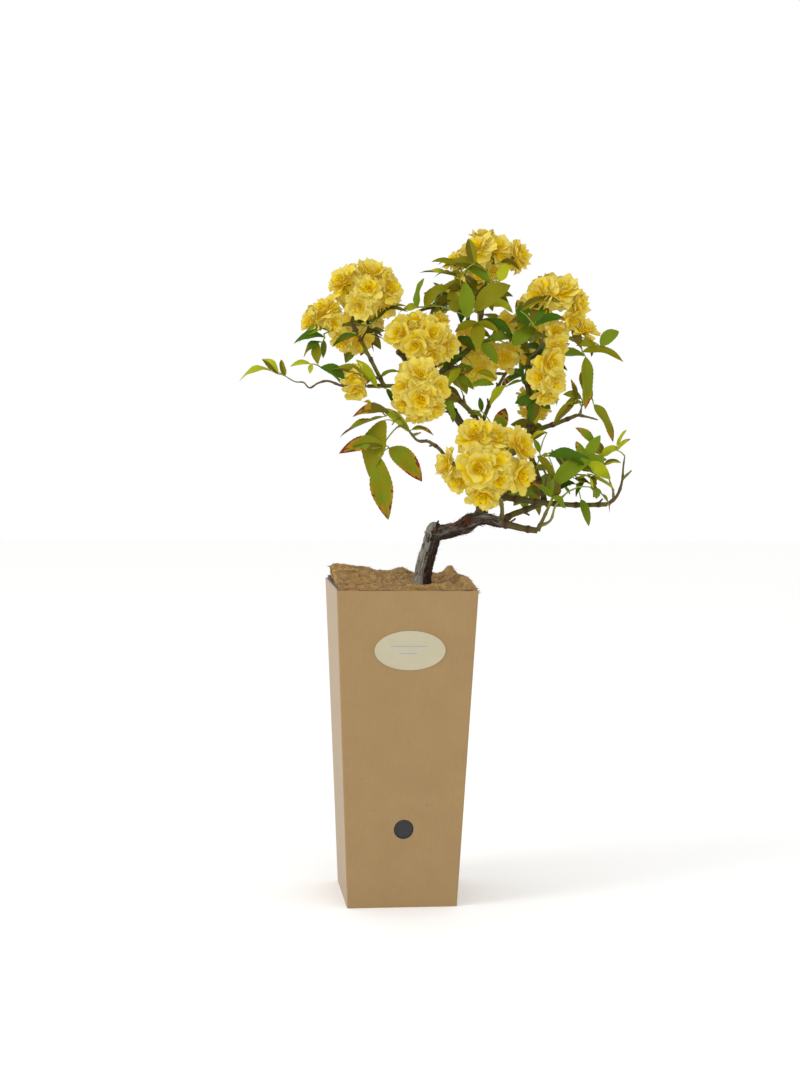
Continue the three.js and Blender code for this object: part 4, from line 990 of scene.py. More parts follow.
def leaflet_finish(template, tone, scorched, draw):
    """Each face's colour: the leaf's own green, then gold and red brown towards the tip and along the margin."""
    finish = np.full(len(template.polygons), tone)
    if draw() < 0.2:  # painted shade: one half of the blade takes the bronze tone, for the half that the fold turns from the light
        finish[template.shares[:, 1] > 0] = GREENS.index("bronze_and_painted_shade")
    if scorched:
        reach, seed = mix(0.62, 0.9, draw()), 40 * draw()
        for i, (along, across) in enumerate(template.shares):
            patch = noise.noise((along * 6 + seed, across * 2.5, seed))
            if patch < -0.16 and tone == GREENS.index("olive"):
                finish[i] = GREENS.index("green")
            ripe = along + 0.28 * float(smoothstep(0.5, 0.95, abs(across))) + 0.35 * patch
            if ripe > reach:
                finish[i] = SCORCH if ripe > reach + 0.17 else GOLD
    return finish


# %% [markdown]
# ## Petals and rosettes
#
# A bloom is a full double rosette: forty-five thin petals in rings round a tight heart. A petal is a broad ruffled
# paddle with a round, notched end, deep gold at its foot and pale lemon at its tip. A bmesh grid makes one petal, and
# each ring bends it less upright and longer than the ring inside. Five rosettes are made, from open to cupped, and
# every bloom is one of them, turned by chance.

# %% A petal and a rosette
PETAL_ROWS, PETAL_COLUMNS = 5, 4
PETAL = ribbon_template(PETAL_ROWS, PETAL_COLUMNS)
PETAL_ROW = np.array([round((PETAL.places[p, 1].mean() + 0.5) * PETAL_ROWS - 0.5) for p in PETAL.polygons])
PETAL_SPREAD = np.array([0.22, 0.56, 0.88, 1.06, 1.08, 0.76])  # its width from foot to end
# Each ring: petals, length, how upright the petal's foot and tip stand in degrees, and its width.
RINGS = [
    (7, 1.2, 6, -26, 0.76), (8, 1.12, 28, -4, 0.7), (8, 1.02, 46, 16, 0.62), (9, 0.9, 62, 36, 0.52),
    (8, 0.76, 74, 54, 0.44), (5, 0.55, 92, 118, 0.36),
]
HEART, BLADE, TIP = 0, 1, 2
PETAL_FOOT = (0.05, -0.16)  # how far out and up from the bloom's middle a petal starts
PETAL_LEAN, PETAL_CURL = 42, 64  # degrees by which the petals of a ring differ
RUFFLE, NOTCH = 0.08, 0.03
ROSETTE_CLOSING = (-6, 0, 8, 18, 30)  # degrees by which each rosette's outer petals are raised


def petal(length, foot, tip, width, azimuth, draw):
    """One petal's corners, in units of the bloom's radius."""
    rows = np.linspace(0, 1, PETAL_ROWS + 1)
    lean, curl, side_curl = PETAL_LEAN * (draw() - 0.5), PETAL_CURL * (draw() - 0.5), mix(-0.1, 0.3, draw())
    slope = np.radians(mix(foot, tip, rows) + lean + curl * rows**2)
    step = length / PETAL_ROWS
    middle = (slope[1:] + slope[:-1]) / 2
    out, up = (np.concatenate([[foot_at], foot_at + np.cumsum(way(middle)) * step])
               for foot_at, way in zip(PETAL_FOOT, (np.cos, np.sin)))
    row = np.rint((PETAL.places[:, 1] + 0.5) * PETAL_ROWS).astype(int)
    across = PETAL.places[:, 0] * 2
    spread = PETAL_SPREAD[row] * width / 2
    ruffle = RUFFLE * np.sin(across * 3 + 6 * draw()) * (row / PETAL_ROWS) ** 1.5
    cup = side_curl * across**2 * (1 - row / PETAL_ROWS * 0.5) * width
    # The end is round, with one shallow notch in it.
    end = 0.04 * np.abs(across) - 0.2 * across**2 + NOTCH * np.sin(across * 5 + 20 * draw())
    end = np.where(row == PETAL_ROWS, end, 0)
    x, y = across * spread, out[row] + end * np.cos(slope[row])
    z = up[row] + end * np.sin(slope[row]) + ruffle + cup
    turn = azimuth + 0.2 * (draw() - 0.5)
    return np.stack([x * math.cos(turn) - y * math.sin(turn), x * math.sin(turn) + y * math.cos(turn), z], 1)


def rosette(seed, cupped):
    """A whole bloom one unit in radius: its corners and each face's colour, from foot to tip."""
    draw = seeded(seed)
    corners, finish = [], []
    for ring, (count, length, foot, tip, width) in enumerate(RINGS):
        for number in range(count):
            azimuth = 2 * math.pi * (number + 0.5 * (ring % 2)) / count + 0.7 * (draw() - 0.5)
            closing = cupped * (1 - ring / len(RINGS))
            corners.append(petal(length * mix(0.84, 1.1, draw()), foot + closing * 0.3, tip + closing,
                                 width * mix(0.72, 1.15, draw()), azimuth, draw))
            gold = (ring > 0) + (ring > 3) + (draw() < 0.35)
            finish.append(np.where(PETAL_ROW < gold, HEART, np.where(PETAL_ROW < gold + 2 + (ring > 3), BLADE, TIP)))
    return corners, finish


ROSETTES = [rosette(31 * (n + 1), cupped) for n, cupped in enumerate(ROSETTE_CLOSING)]
print("petals in a bloom:", len(ROSETTES[0][0]))

# %% [markdown]
# ## Growing each mass
#
# The blooms and leaflets that are listed above stand where the lists say. The rule grows the rest, and it is the one
# that the solids follow. Blooms stand in a dome round the end of their shoot, spread by the golden angle. Leaves go
# round their shoot, and one that would touch a limb, another mass or what the mass already has turns on round it, up
# to six times. A mass with listed leaflets keeps every second leaf of its plan.

# %% Where leaves and blooms stand
BLOOM_RADIUS = 14
BLOOM_CAP = 85  # degrees from the way a truss faces to its outermost blooms
PETAL_REACH = 0.93  # how far the outer petals reach, in a bloom's radii
CROWN_MIDDLE = 55  # across, in the plant's own frame
TO_LIGHT = (-0.25, -0.85, 0.4)
LEAFLET_WIDTH = 0.44  # of the templates, as a share of their length
LEAFLET_ARCH = 0.13  # how far the middle of a set leaflet rises, as a share of how far it reaches out
LEAF_STALK, LEAF_SPREAD, LEAF_PULL, LEAF_ROLL, LEAF_TRIES = 0.5, 1.2, 1.1, 1.1, 6
LEAF_VARY, SIDE_LENGTH = (0.88, 1.12), (0.7, 0.86)  # how leaves differ, and a side leaflet's share of the front one


def heading_frame(origin, heading, roll):
    """A frame whose X runs along heading and whose Z is as near to up as it can be, rolled by roll."""
    x = heading.normalized()
    y = UP.cross(x)
    y = Vector((0, 1, 0)) if y.length < 1e-2 else y.normalized()
    place = Matrix((x, y, x.cross(y))).transposed().to_4x4() @ Matrix.Rotation(roll, 4, "X")
    place.translation = origin
    return place


def moved(template, place):
    turn = np.array(place.to_3x3())
    return template.places @ turn.T + np.array(place.translation[:])


def dome(plan):
    """The directions of a shoot's blooms, spread over a cap by the golden angle."""
    turn = UP.rotation_difference(Vector(plan["face"]).normalized())
    for i in range(plan["blooms"]):
        polar = math.radians(BLOOM_CAP) * math.sqrt((i + 0.35 if plan["blooms"] > 1 else 0) / plan["blooms"])
        around = i * GOLDEN_ANGLE + plan["twist"]
        flat = math.sin(polar)
        yield turn @ Vector((flat * math.cos(around), flat * math.sin(around), math.cos(polar)))


def leaf_heading(ahead, outward, around, aim):
    """The direction of a leaf that stands off its shoot, pulled the way the shoot's leaves aim."""
    side = UP.cross(ahead)
    side = Vector((1, 0, 0)) if side.length < 0.05 else side.normalized()
    over = ahead.cross(side)
    heading = ahead * mix(1, 0.45, outward) + side * outward * math.cos(around) + over * outward * math.sin(around)
    return (heading + Vector(aim) * LEAF_PULL).normalized()


def leaf_plan(root, heading, size, plan, draw):
    """One compound leaf: its stalk's ends and a frame for each leaflet, scaled to its length."""
    length = size * LEAF_STALK
    hub = root + heading * length
    hub.z -= plan["droop"] * length * 0.4
    ahead = (hub - root).normalized()
    ahead.z -= plan["droop"]
    roll = (draw() - 0.5) * LEAF_ROLL
    left, left_length = LEAF_SPREAD * mix(*LEAF_VARY, draw()), mix(*SIDE_LENGTH, draw())
    right, right_length = LEAF_SPREAD * mix(*LEAF_VARY, draw()), mix(*SIDE_LENGTH, draw())
    stem = heading_frame(hub, ahead, roll)
    leaflets = ((-left, left_length), (0, 1), (right, right_length))
    frames = [stem @ Matrix.Rotation(turn, 4, "Z") @ Matrix.Scale(share * size, 4) for turn, share in leaflets]
    return root, hub, frames


def side_pair(leaf, size, draw):
    """The finer pair of leaflets half way along a leaf's stalk."""
    root, hub, _ = leaf
    stem = heading_frame(root.lerp(hub, 0.42), hub - root, 0.8 * (draw() - 0.5))
    turns = [turn * mix(0.9, 1.1, draw()) for turn in (-1.25, 1.25)]
    return [stem @ Matrix.Rotation(turn, 4, "Z") @ Matrix.Scale(size * mix(0.55, 0.75, draw()), 4) for turn in turns]


# %% What a leaf or bloom must stay clear of


def tree_of(node):
    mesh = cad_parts[node].data
    back = PLANT.inverted()
    return BVHTree.FromPolygons([back @ v.co for v in mesh.vertices], [list(p.vertices) for p in mesh.polygons])


ball = bmesh.new()
bmesh.ops.create_icosphere(ball, subdivisions=1, radius=1)
BALL = Template(ball)
solid_trees = {name: tree_of(name) for name in ("trunk", *LIMBS, *MASSES)}


def leaf_tree(frames):
    template = LEAFLETS[0]
    places = np.concatenate([moved(template, f) for f in frames])
    polygons = [[i + n * len(template.places) for i in p] for n in range(len(frames)) for p in template.polygons]
    return BVHTree.FromPolygons(places.tolist(), polygons)


def touches(frames, trees):
    """Whether leaflets in these frames would touch anything near them."""
    hull = leaf_tree(frames)
    return any(hull.overlap(tree) for tree in trees)


def bloom_tree(seat, direction, radius):
    turn = UP.rotation_difference(direction).to_matrix().to_4x4()
    place = Matrix.Translation(seat) @ turn @ Matrix.Translation((0, 0, 0.1 * radius))
    place = place @ Matrix.Diagonal((radius, radius, radius * 0.5, 1))
    return BVHTree.FromPolygons(moved(BALL, place).tolist(), BALL.polygons)


# %% What the crown is made of
petals, leaves, twigs, sepals = Joined(), Joined(), Joined(), Joined()
grown = {"blooms": 0, "leaflets": 0, "set": 0, "skipped": 0, "pairs": 0, "more": 0}
# Leaves that fill up a shoot, for each leaf of its plan, and a push on the way they aim.
MORE_LEAVES = {"foliage_right_low": 0.2, "foliage_right_inner": 0}
MORE_AIM = {"foliage_right_low": (0.2, -0.3, 0.3)}
# The share of leaflets with gold or scorched tips.
RED_TIPS = {"foliage_far_left": 0, "foliage_top": 0, "foliage_drooping_left": 0.95, "foliage_right_side": 0.7,
            "foliage_right_top": 0.5}
TONES = {  # share of lime, olive, green and deep leaves in a spray
    "foliage_upper_left": (0.1, 0.3, 0.3, 0.3), "foliage_top": (0.1, 0.5, 0.3, 0.1),
    "foliage_right_low": (0.45, 0.2, 0.35, 0), "foliage_right_top": (0.2, 0.5, 0.3, 0),
    "foliage_right_inner": (0.5, 0.3, 0.2, 0),
}


def pick(shares, value):
    """Which of several kinds a number from 0 to 1 falls to, by their shares."""
    return int(np.searchsorted(np.cumsum(shares), value * sum(shares)))


# %% A leaf and its stalk


def stalk(path, radii, sides, step, young=1.0):
    """Stamps a thin stalk through a few places."""
    template, places, grain = tube(Curve(path), taper(radii), sides, step)
    twigs.stamp(template, places, grain=grain, young=np.full(len(places), young))


def dress_leaf(leaf, mass, draw):
    """Stamps a leaf's stalk and leaflets, with one tone for the whole leaf and brown tips on some."""
    root, hub, frames = leaf
    tone = min(pick(TONES.get(mass, (0.2, 0.3, 0.3, 0.2)), draw()), GREENS.index("deep"))
    stalk([root, root.lerp(hub, 0.5) + UP * (hub - root).length * 0.06, hub], (0.75, 0.5), 5, 3)
    for place in frames:
        which = LEAFLETS[int(draw() * len(LEAFLETS)) % len(LEAFLETS)]
        if place.to_scale().x > BIG_LEAFLET_SIZE:
            which = BIG_LEAFLET
        scorched = draw() < RED_TIPS.get(mass, 0.1)
        leaves.stamp(which, moved(which, place), leaflet_finish(which, tone, scorched, draw))
        grown["leaflets"] += 1


# %% Leaflets set one by one, on their stalks
EDGE_ON = (0.2, 0.36)  # the lift and the width of a leaflet that is seen from its edge, in its lengths


def set_leaflet(foot, tip, width, draw):
    """The frame of a leaflet set one by one. With no width it lies level and is seen from its edge."""
    ahead, face, length = tip - foot, Vector(TO_LIGHT), (tip - foot).length
    if not width:
        ahead, face, width = ahead + UP * EDGE_ON[0] * length, UP, EDGE_ON[1] * length
    x = ahead.normalized()
    y = face.cross(x).normalized()
    place = Matrix((x, y, x.cross(y))).transposed().to_4x4() @ Matrix.Rotation(LEAF_ROLL * (draw() - 0.5), 4, "X")
    place = place @ Matrix.Diagonal((length, width / LEAFLET_WIDTH, length, 1))
    place.translation = foot
    return place


def dress_set_leaflets(mass, curves, draw):
    """Stamps the mass's listed leaflets, each on a thin stalk from the nearest shoot or leaflet's foot."""
    hulls, feet = [], []
    for x0, y0, z0, x1, y1, z1, width, tone in SET_LEAFLETS.get(mass, []):
        foot, tip = Vector((x0, y0, z0)), Vector((x1, y1, z1))
        place = set_leaflet(foot, tip, width, draw)
        which = BIG_LEAFLET if (tip - foot).length > BIG_LEAFLET_SIZE else LEAFLETS[int(draw() * 4) % 4]
        scorched = draw() < RED_TIPS.get(mass, 0.1)
        blade = moved(which, place)
        if width:  # a leaflet that reaches out sideways arches over
            along = which.places[:, 0] / which.places[:, 0].max()
            blade[:, 2] += LEAFLET_ARCH * math.hypot(tip.x - foot.x, tip.y - foot.y) * 4 * along * (1 - along)
        leaves.stamp(which, blade, leaflet_finish(which, GREENS.index(tone), scorched, draw))
        start = min([nearest_on(curves, foot), *feet], key=lambda p: (p - foot).length)
        if (start - foot).length > 1:
            stalk([start, start.lerp(foot, 0.5) + UP * (foot - start).length * 0.1, foot], (0.7, 0.45), 5, 3, 0.9)
        feet.append(foot)
        hulls.append(leaf_tree([place]))
        grown["set"] += 1
    return hulls


# %% [markdown]
# A real leaf turns its blades to the light. Each leaf of the rule is rolled about its stalk towards the open side of
# the plant, as far as nothing near it is in the way.

# %% A leaf turned to the light
BACK_HALF = (25, 60)  # between these depths the open side turns from the plant's front to its back


def turned(leaf, share):
    """The leaf rolled about its own stalk, so that its blades face the open side of the plant."""
    root, hub, frames = leaf
    ahead, face = (hub - root).normalized(), frames[1].to_3x3().col[2]
    out_back = float(smoothstep(*BACK_HALF, hub.y))
    open_side = Vector(((hub.x - CROWN_MIDDLE) / 150, mix(-0.9, 0.9, out_back), 0.45))
    face, open_side = (v - ahead * v.dot(ahead) for v in (face, open_side))
    angle = face.angle(open_side, 0) * (1 if ahead.dot(face.cross(open_side)) > 0 else -1)
    spin = Matrix.Translation(hub) @ Matrix.Rotation(angle * share, 4, ahead) @ Matrix.Translation(-hub)
    return root, hub, [spin @ place for place in frames]


def hub_chance(hub):
    """A number from 0 to 1 that depends on the place alone."""
    return 0.5 + 0.5 * noise.noise(hub * 0.37)


def settled(leaf, trees):
    """The leaf turned to the light as far as it stays clear of everything near it."""
    for share in (mix(0.3, 0.9, hub_chance(leaf[1])), 0.3):
        made = turned(leaf, share)
        if not touches(made[2], trees):
            return made
    return leaf


def first_clear(offered, trees):
    """The first of the leaves offered that stays clear of everything near it, or None."""
    for leaf in offered:
        if not touches(leaf[2], trees):
            return settled(leaf, trees)
    return None


# %% [markdown]
# A bloom sits on a small green cup with five sepals, at the end of a thin stalk. The cup is a short tube that widens
# to the bloom, and each sepal is a small leaflet from the templates, laid flat under the outer petals.

# %% A bloom with its sepals and its stalk
CALYX_DEPTHS = (0.42, 0.27, 0.1)  # behind the bloom's middle, in its radii
SEPALS, SEPAL_LENGTH, SEPAL_TILT = 5, 0.42, 0.12


def dress_bloom(seat, direction, radius, root, draw):
    """Stamps a rosette, its five sepals and its thin stalk. direction is where the bloom looks."""
    corners, finish = ROSETTES[int(draw() * len(ROSETTES)) % len(ROSETTES)]
    tilt = Vector((draw() - 0.5, draw() - 0.5, draw() - 0.5)) * 0.3
    axis = (direction + tilt).normalized()
    place = Matrix.Translation(seat) @ UP.rotation_difference(axis).to_matrix().to_4x4()
    place = place @ Matrix.Rotation(2 * math.pi * draw(), 4, "Z") @ Matrix.Scale(radius, 4)
    turn, shift = np.array(place.to_3x3()), np.array(place.translation[:])
    for shape, colour in zip(corners, finish):
        petals.stamp(PETAL, shape @ turn.T + shift, colour)
    calyx = Curve([seat - axis * radius * depth for depth in CALYX_DEPTHS])
    template, places, _ = tube(calyx, lambda s: mix(0.9, 2.3, math.sin(s * 2.4)), 8, 1)
    sepals.stamp(template, places)
    for n in range(SEPALS):
        around = place @ Matrix.Rotation(n * 2 * math.pi / SEPALS, 4, "Z") @ Matrix.Translation((0.05, 0, -0.2))
        around = around @ Matrix.Rotation(-SEPAL_TILT, 4, "Y") @ Matrix.Scale(SEPAL_LENGTH, 4)
        sepals.stamp(LEAFLETS[2], moved(LEAFLETS[2], around), np.zeros(len(LEAFLETS[2].sizes), int))
    knee = root.lerp(seat, 0.5) + Vector((draw() - 0.5, draw() - 0.5, draw() - 0.2)) * 4
    stalk([root, knee, seat - axis * radius * 0.36], (0.62, 0.5), 6, 2.5)
    grown["blooms"] += 1


# %% [markdown]
# Now each mass is grown in turn. Every mass has two seeds of its own, one for where the rule puts things and one for
# how they are dressed, so that a change to one mass hardly touches the others.

# %% Where a mass's shoots and blooms are


def nearest_on(curves, place):
    """The place nearest to this one on any of the curves."""
    return min((c.point(i / 40) for c in curves for i in range(41)), key=lambda p: (p - place).length)


def blooms_of(mass, curves, draw):
    """Each bloom of a mass: its seat, its radius, the way it looks and the shoot's end that carries it."""
    ends = [c.places[-1] for plan, c in zip(MASSES[mass], curves) if plan["blooms"]]
    for x, y, z, radius, *look in SET_BLOOMS.get(mass, []):
        seat = Vector((x, y, z))
        yield seat, radius / PETAL_REACH, Vector(look).normalized(), min(ends, key=lambda end: (end - seat).length)
    if mass in SET_BLOOMS:
        return
    for plan, curve in zip(MASSES[mass], curves):
        for direction in dome(plan):
            radius = BLOOM_RADIUS * mix(0.9, 1.08, draw())
            seat = curve.places[-1] + direction * plan["reach"] * mix(0.85, 1.15, draw())
            # The blooms of a truss all turn a little towards the light that its top faces.
            yield seat, radius, (direction + Vector(plan["face"]).normalized() * 0.55).normalized(), curve.places[-1]


def shoots_of(mass):
    """The curves of a mass's shoots. Each one after the first starts on the nearest shoot before it."""
    curves = []
    for plan in MASSES[mass]:
        path = [Vector(p) for p in plan["path"]]
        if curves:
            path[0] = nearest_on(curves, path[0])
        curves.append(Curve(path))
    return curves


# %% Leaves that the rule grows


def rule_leaves(plan, curve, leaf, size, draw):
    """The places where the rule tries one leaf, each a golden angle further round the shoot."""
    last = plan["leaves"] - 1
    at_tip = plan["tip"] and leaf == last
    along = 1 if at_tip else mix(0.25, 0.95, leaf / last if last else 0.6)
    for attempt in range(LEAF_TRIES):
        around = (leaf + attempt) * GOLDEN_ANGLE + plan["twist"]
        heading = leaf_heading(curve.tangent(along), attempt * 0.12 if at_tip else 1, around, plan["aim"])
        yield leaf_plan(curve.point(along), heading, size, plan, draw)


def filling_leaves(plan, curve, leaf, along, size, aim, draw):
    """The places tried for one more leaf, between the rule's own."""
    for attempt in range(2 * LEAF_TRIES):
        around = (leaf + attempt + 0.5) * GOLDEN_ANGLE + plan["twist"] + 1
        yield leaf_plan(curve.point(along), leaf_heading(curve.tangent(along), 1, around, aim), size, plan, draw)


def grow_mass(mass, index, finished):
    """Grows one mass clear of the limbs and of the masses that are finished, and gives its shoots' curves."""
    draw = seeded(1009 * (index + 1))
    dress = seeded(7717 * (index + 1))
    curves = shoots_of(mass)
    near = [solid_trees[name] for name in ("trunk", *LIMBS, *finished)]
    for seat, radius, look, end in blooms_of(mass, curves, draw):
        near.append(bloom_tree(seat, look, radius))
        dress_bloom(seat, look, radius, end, dress)
    near += dress_set_leaflets(mass, curves, dress)
    every = 2 if mass in SET_LEAFLETS else 1
    for i in sorted(range(len(curves)), key=lambda n: -MASSES[mass][n]["size"]):
        plan = MASSES[mass][i]
        for leaf in range((plan["leaves"] - 1) % every, plan["leaves"], every):
            size = plan["size"] * mix(*LEAF_VARY, draw())
            made = first_clear(rule_leaves(plan, curves[i], leaf, size, draw), near)
            if made is None:
                grown["skipped"] += 1
                continue
            near.append(leaf_tree(made[2]))
            pair = side_pair(made, size, dress)
            if dress() < 0.5 and not touches(pair, near):
                made[2].extend(pair)
                grown["pairs"] += 1
            dress_leaf(made, mass, dress)
    # More leaves of the same kind fill what is still open along each shoot, as far apart as the rule's own.
    share = MORE_LEAVES.get(mass, 0 if mass in SET_LEAFLETS else 0.5)
    for plan, curve in zip(MASSES[mass], curves):
        more = round(share * max(plan["leaves"], min(3, plan["blooms"])))
        aim = Vector(plan["aim"]) + Vector(MORE_AIM.get(mass, (0, 0, 0.1)))
        for leaf in range(more):
            along = mix(0.3, 0.98, (leaf + 0.5) / more)
            size = max(22, min(28, plan["size"])) * mix(0.85, 1.1, dress())
            made = first_clear(filling_leaves(plan, curve, leaf, along, size, aim, dress), near)
            if made:
                near.append(leaf_tree(made[2]))
                dress_leaf(made, mass, dress)
                grown["more"] += 1
    return curves


shoot_curves = {}
for index, mass in enumerate(MASSES):
    shoot_curves[mass] = grow_mass(mass, index, list(MASSES)[:index])
print("grown:", grown)

# %% Shoots
BROWN_LENGTH = {"foliage_far_left": 45, "foliage_right_tip": 30}  # how much of the first shoot is still brown wood
SHOOT_NODE_GAP = 11

for mass, curves in shoot_curves.items():
    for number, (plan, curve) in enumerate(zip(MASSES[mass], curves)):
        node_count = round(curve.length / SHOOT_NODE_GAP)
        nodes = [(i + 0.5) / node_count for i in range(node_count)]
        thin = plan["radius"][1] * (1 if plan["blooms"] else 0.6)
        radius_at = noded((plan["radius"][0] * 0.95, thin), curve.length, nodes)
        template, places, grain = tube(curve, radius_at, 8, 1.4, wavy)
        brown = BROWN_LENGTH.get(mass, 0)
        young = smoothstep(brown, brown + 40, grain[:, 2]) * 0.6 + 0.3 * (number > 0)
        twigs.stamp(template, places, grain=grain, young=young)

# %% [markdown]
# The petals are thin and satin, so they scatter light more than they shine. Each colour is a plain base colour given
# to faces by place: gold at the heart, clear yellow on the blade and pale at the tip. The fine ridges are a bump.

# %% Petal materials


def petal_material(name, colour):
    material, tree, shader = start_material(name, colour, 0.6, 1.4, 0.2)
    feed(tree, shader, {"Subsurface Weight": 0.3, "Subsurface Radius": (1, 0.6, 0.1), "Subsurface Scale": 0.003})
    # The sheet is opaque here, so a faint glow of its own colour stands for the light that comes through it.
    feed(tree, shader, {"Emission Color": linear(colour), "Emission Strength": 0.16})
    spot = add(tree, "TexCoord").outputs["Object"]
    # Veins lie about 0.6 mm apart on the real petal; they are drawn at 1.5 mm so that they show.
    veins = add(tree, "TexNoise", {"Vector": spot, "Scale": per_metre(1.5), "Detail": 3})
    rough = add(tree, "MapRange", {"Value": veins.outputs["Fac"], "To Min": 0.45, "To Max": 0.7})
    lift = add(tree, "Bump", {"Height": veins.outputs["Fac"], "Strength": 0.25, "Distance": 0.0003})
    feed(tree, shader, {"Roughness": rough.outputs["Result"], "Normal": lift.outputs["Normal"]})
    return material


petal_finishes = [
    petal_material("rose_petal_gold_heart", "#deae04"),
    petal_material("rose_petal_clear_yellow", "#d6bb18"),
    petal_material("rose_petal_pale_tip", "#cdba52"),
]
petal_piece = petals.make("petals", petal_finishes, PLANT)
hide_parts(*[m for m, shoots in MASSES.items() if any(s["blooms"] for s in shoots)])

# %% [markdown]
# Rose leaves are leathery with a thin waxy skin, so they have a soft gloss. Their tones are plain base colours dealt
# out leaf by leaf, from young lime to old deep green, with a red brown for the scorched tips.

# %% Leaf materials


def leaf_material(name, colour, roughness):
    material, tree, shader = start_material(name, colour, roughness, 1.45, 0.15)
    spot = add(tree, "TexCoord").outputs["Object"]
    net = add(tree, "TexVoronoi", {"Vector": spot, "Scale": per_metre(1.6)})
    rough = add(tree, "MapRange", {"Value": net.outputs["Distance"], "To Min": roughness - 0.08,
                "To Max": roughness + 0.14})
    lift = add(tree, "Bump", {"Height": net.outputs["Distance"], "Strength": 0.3, "Distance": 0.0003})
    feed(tree, shader, {"Roughness": rough.outputs["Result"], "Normal": lift.outputs["Normal"]})
    return material


# The bronze tone is an autumn tint on whole leaflets, and painted shade where it covers one half of a blade.
LEAF_COLOURS = {"lime": "#9aa010", "olive": "#767202", "green": "#66780a", "deep": "#3e5c02", "bronze_and_painted_shade": "#5c5204"}
leaf_finishes = [leaf_material(f"rose_leaf_{tone}", LEAF_COLOURS[tone], 0.55) for tone in GREENS]
leaf_finishes += [leaf_material("rose_leaf_turning_gold", "#93700a", 0.6),
                  leaf_material("rose_leaf_scorched", "#6b2f12", 0.65)]
leaf_piece = leaves.make("leaflets", leaf_finishes, PLANT)
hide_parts(*[m for m, shoots in MASSES.items() if m in SET_LEAFLETS or any(s["leaves"] for s in shoots)])

sepal_piece = sepals.make("sepals", [leaf_material("rose_sepal", "#7f9130", 0.6)], PLANT)
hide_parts(*[m for m, shoots in MASSES.items() if any(s["blooms"] for s in shoots)])

# %% [markdown]
# Young shoots, leaf stalks and the blooms' thin stalks are still green, with a smooth waxy skin. Where a shoot is
# older its skin turns dull brown in blotches, by the share of young skin that each tube notes.

# %% Green shoots, stalks and pedicels
green_skin, tree, shader = start_material("green_rose_shoot", "#7d8a2c", 0.55, gloss=0.2)
grain = add(tree, "Attribute", attribute_name="grain")
young = add(tree, "Attribute", attribute_name="young")
blotch = add(tree, "TexNoise", {"Vector": grain.outputs["Vector"], "Scale": 0.35, "Detail": 3})
older = add(tree, "Mix", {0: blotch.outputs["Fac"], 6: linear("#44491d"), 7: linear("#664a2e")}, data_type="RGBA")
newer = add(tree, "Mix", {0: blotch.outputs["Fac"], 6: linear("#7f8f22"), 7: linear("#95983c")}, data_type="RGBA")
skin = add(tree, "Mix", {0: young.outputs["Fac"], 6: older.outputs[2], 7: newer.outputs[2]}, data_type="RGBA")
lift = add(tree, "Bump", {"Height": blotch.outputs["Fac"], "Strength": 0.3, "Distance": 0.0002})
feed(tree, shader, {"Base Color": skin.outputs[2], "Normal": lift.outputs["Normal"]})
twig_piece = twigs.make("green_twigs", [green_skin], PLANT)
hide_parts(*MASSES)

# %% [markdown]
# ## The card sleeve
#
# The sleeve is one sheet of thick kraft board, folded to a tall tapered box. Its folds are slightly round, and its
# top edge shows the board's thickness. It starts as a bmesh cube, drawn in at the foot and opened at the top. The
# folds are bevelled before the wall gets its thickness, and a cylinder cuts the round drain hole low in the front.

# %% Sleeve shape
SLEEVE_HEIGHT, SLEEVE_TOP, SLEEVE_FOOT, SLEEVE_WALL = 268, 118, 93, 1.6
FOLD_RADIUS, HOLE_RADIUS, HOLE_UP = 1.4, 8.4, 67


def sleeve_width(z):
    return mix(SLEEVE_FOOT, SLEEVE_TOP, z / SLEEVE_HEIGHT)


shape = bmesh.new()
bmesh.ops.create_cube(shape, size=1)
for v in shape.verts:
    z = SLEEVE_HEIGHT * (v.co.z + 0.5)
    v.co = (v.co.x * sleeve_width(z), v.co.y * sleeve_width(z), z)
top_face = [f for f in shape.faces if f.calc_center_median().z > SLEEVE_HEIGHT - 1]
bmesh.ops.delete(shape, geom=top_face, context="FACES_ONLY")
upright = [e for e in shape.edges if abs(e.verts[0].co.z - e.verts[1].co.z) > 1]
bmesh.ops.bevel(shape, geom=upright, offset=FOLD_RADIUS, offset_type="OFFSET", segments=4, profile=0.5, affect="EDGES",
                material=-1)
bmesh.ops.recalc_face_normals(shape, faces=shape.faces)
bmesh.ops.solidify(shape, geom=shape.faces, thickness=SLEEVE_WALL)
bmesh.ops.recalc_face_normals(shape, faces=shape.faces)
sleeve_mesh = mesh_of(shape, "card_sleeve")
zs = [v.co.z for v in sleeve_mesh.vertices]
print("sleeve from", round(min(zs), 1), "to", round(max(zs), 1), "mm")

# %% The drain hole
shape = bmesh.new()
bmesh.ops.create_cone(shape, cap_ends=True, segments=64, radius1=HOLE_RADIUS, radius2=HOLE_RADIUS, depth=30)
bmesh.ops.rotate(shape, verts=shape.verts, matrix=Matrix.Rotation(math.pi / 2, 3, "X"))
bmesh.ops.translate(shape, verts=shape.verts, vec=(0, -sleeve_width(HOLE_UP) / 2, HOLE_UP))
punch_mesh = mesh_of(shape, "hole_punch")


def cut(mesh, cutter_mesh):
    """The mesh with the cutter's shape taken away."""
    body, cutter = into_scene("body", mesh), into_scene("cutter", cutter_mesh)
    punch = body.modifiers.new("punch", "BOOLEAN")
    punch.operation, punch.solver, punch.object = "DIFFERENCE", "EXACT", cutter
    made = bpy.data.meshes.new_from_object(body.evaluated_get(bpy.context.evaluated_depsgraph_get()))
    bpy.data.objects.remove(body)
    bpy.data.objects.remove(cutter)
    return made


sleeve_mesh = cut(sleeve_mesh, punch_mesh)
sleeve_mesh.materials.clear()

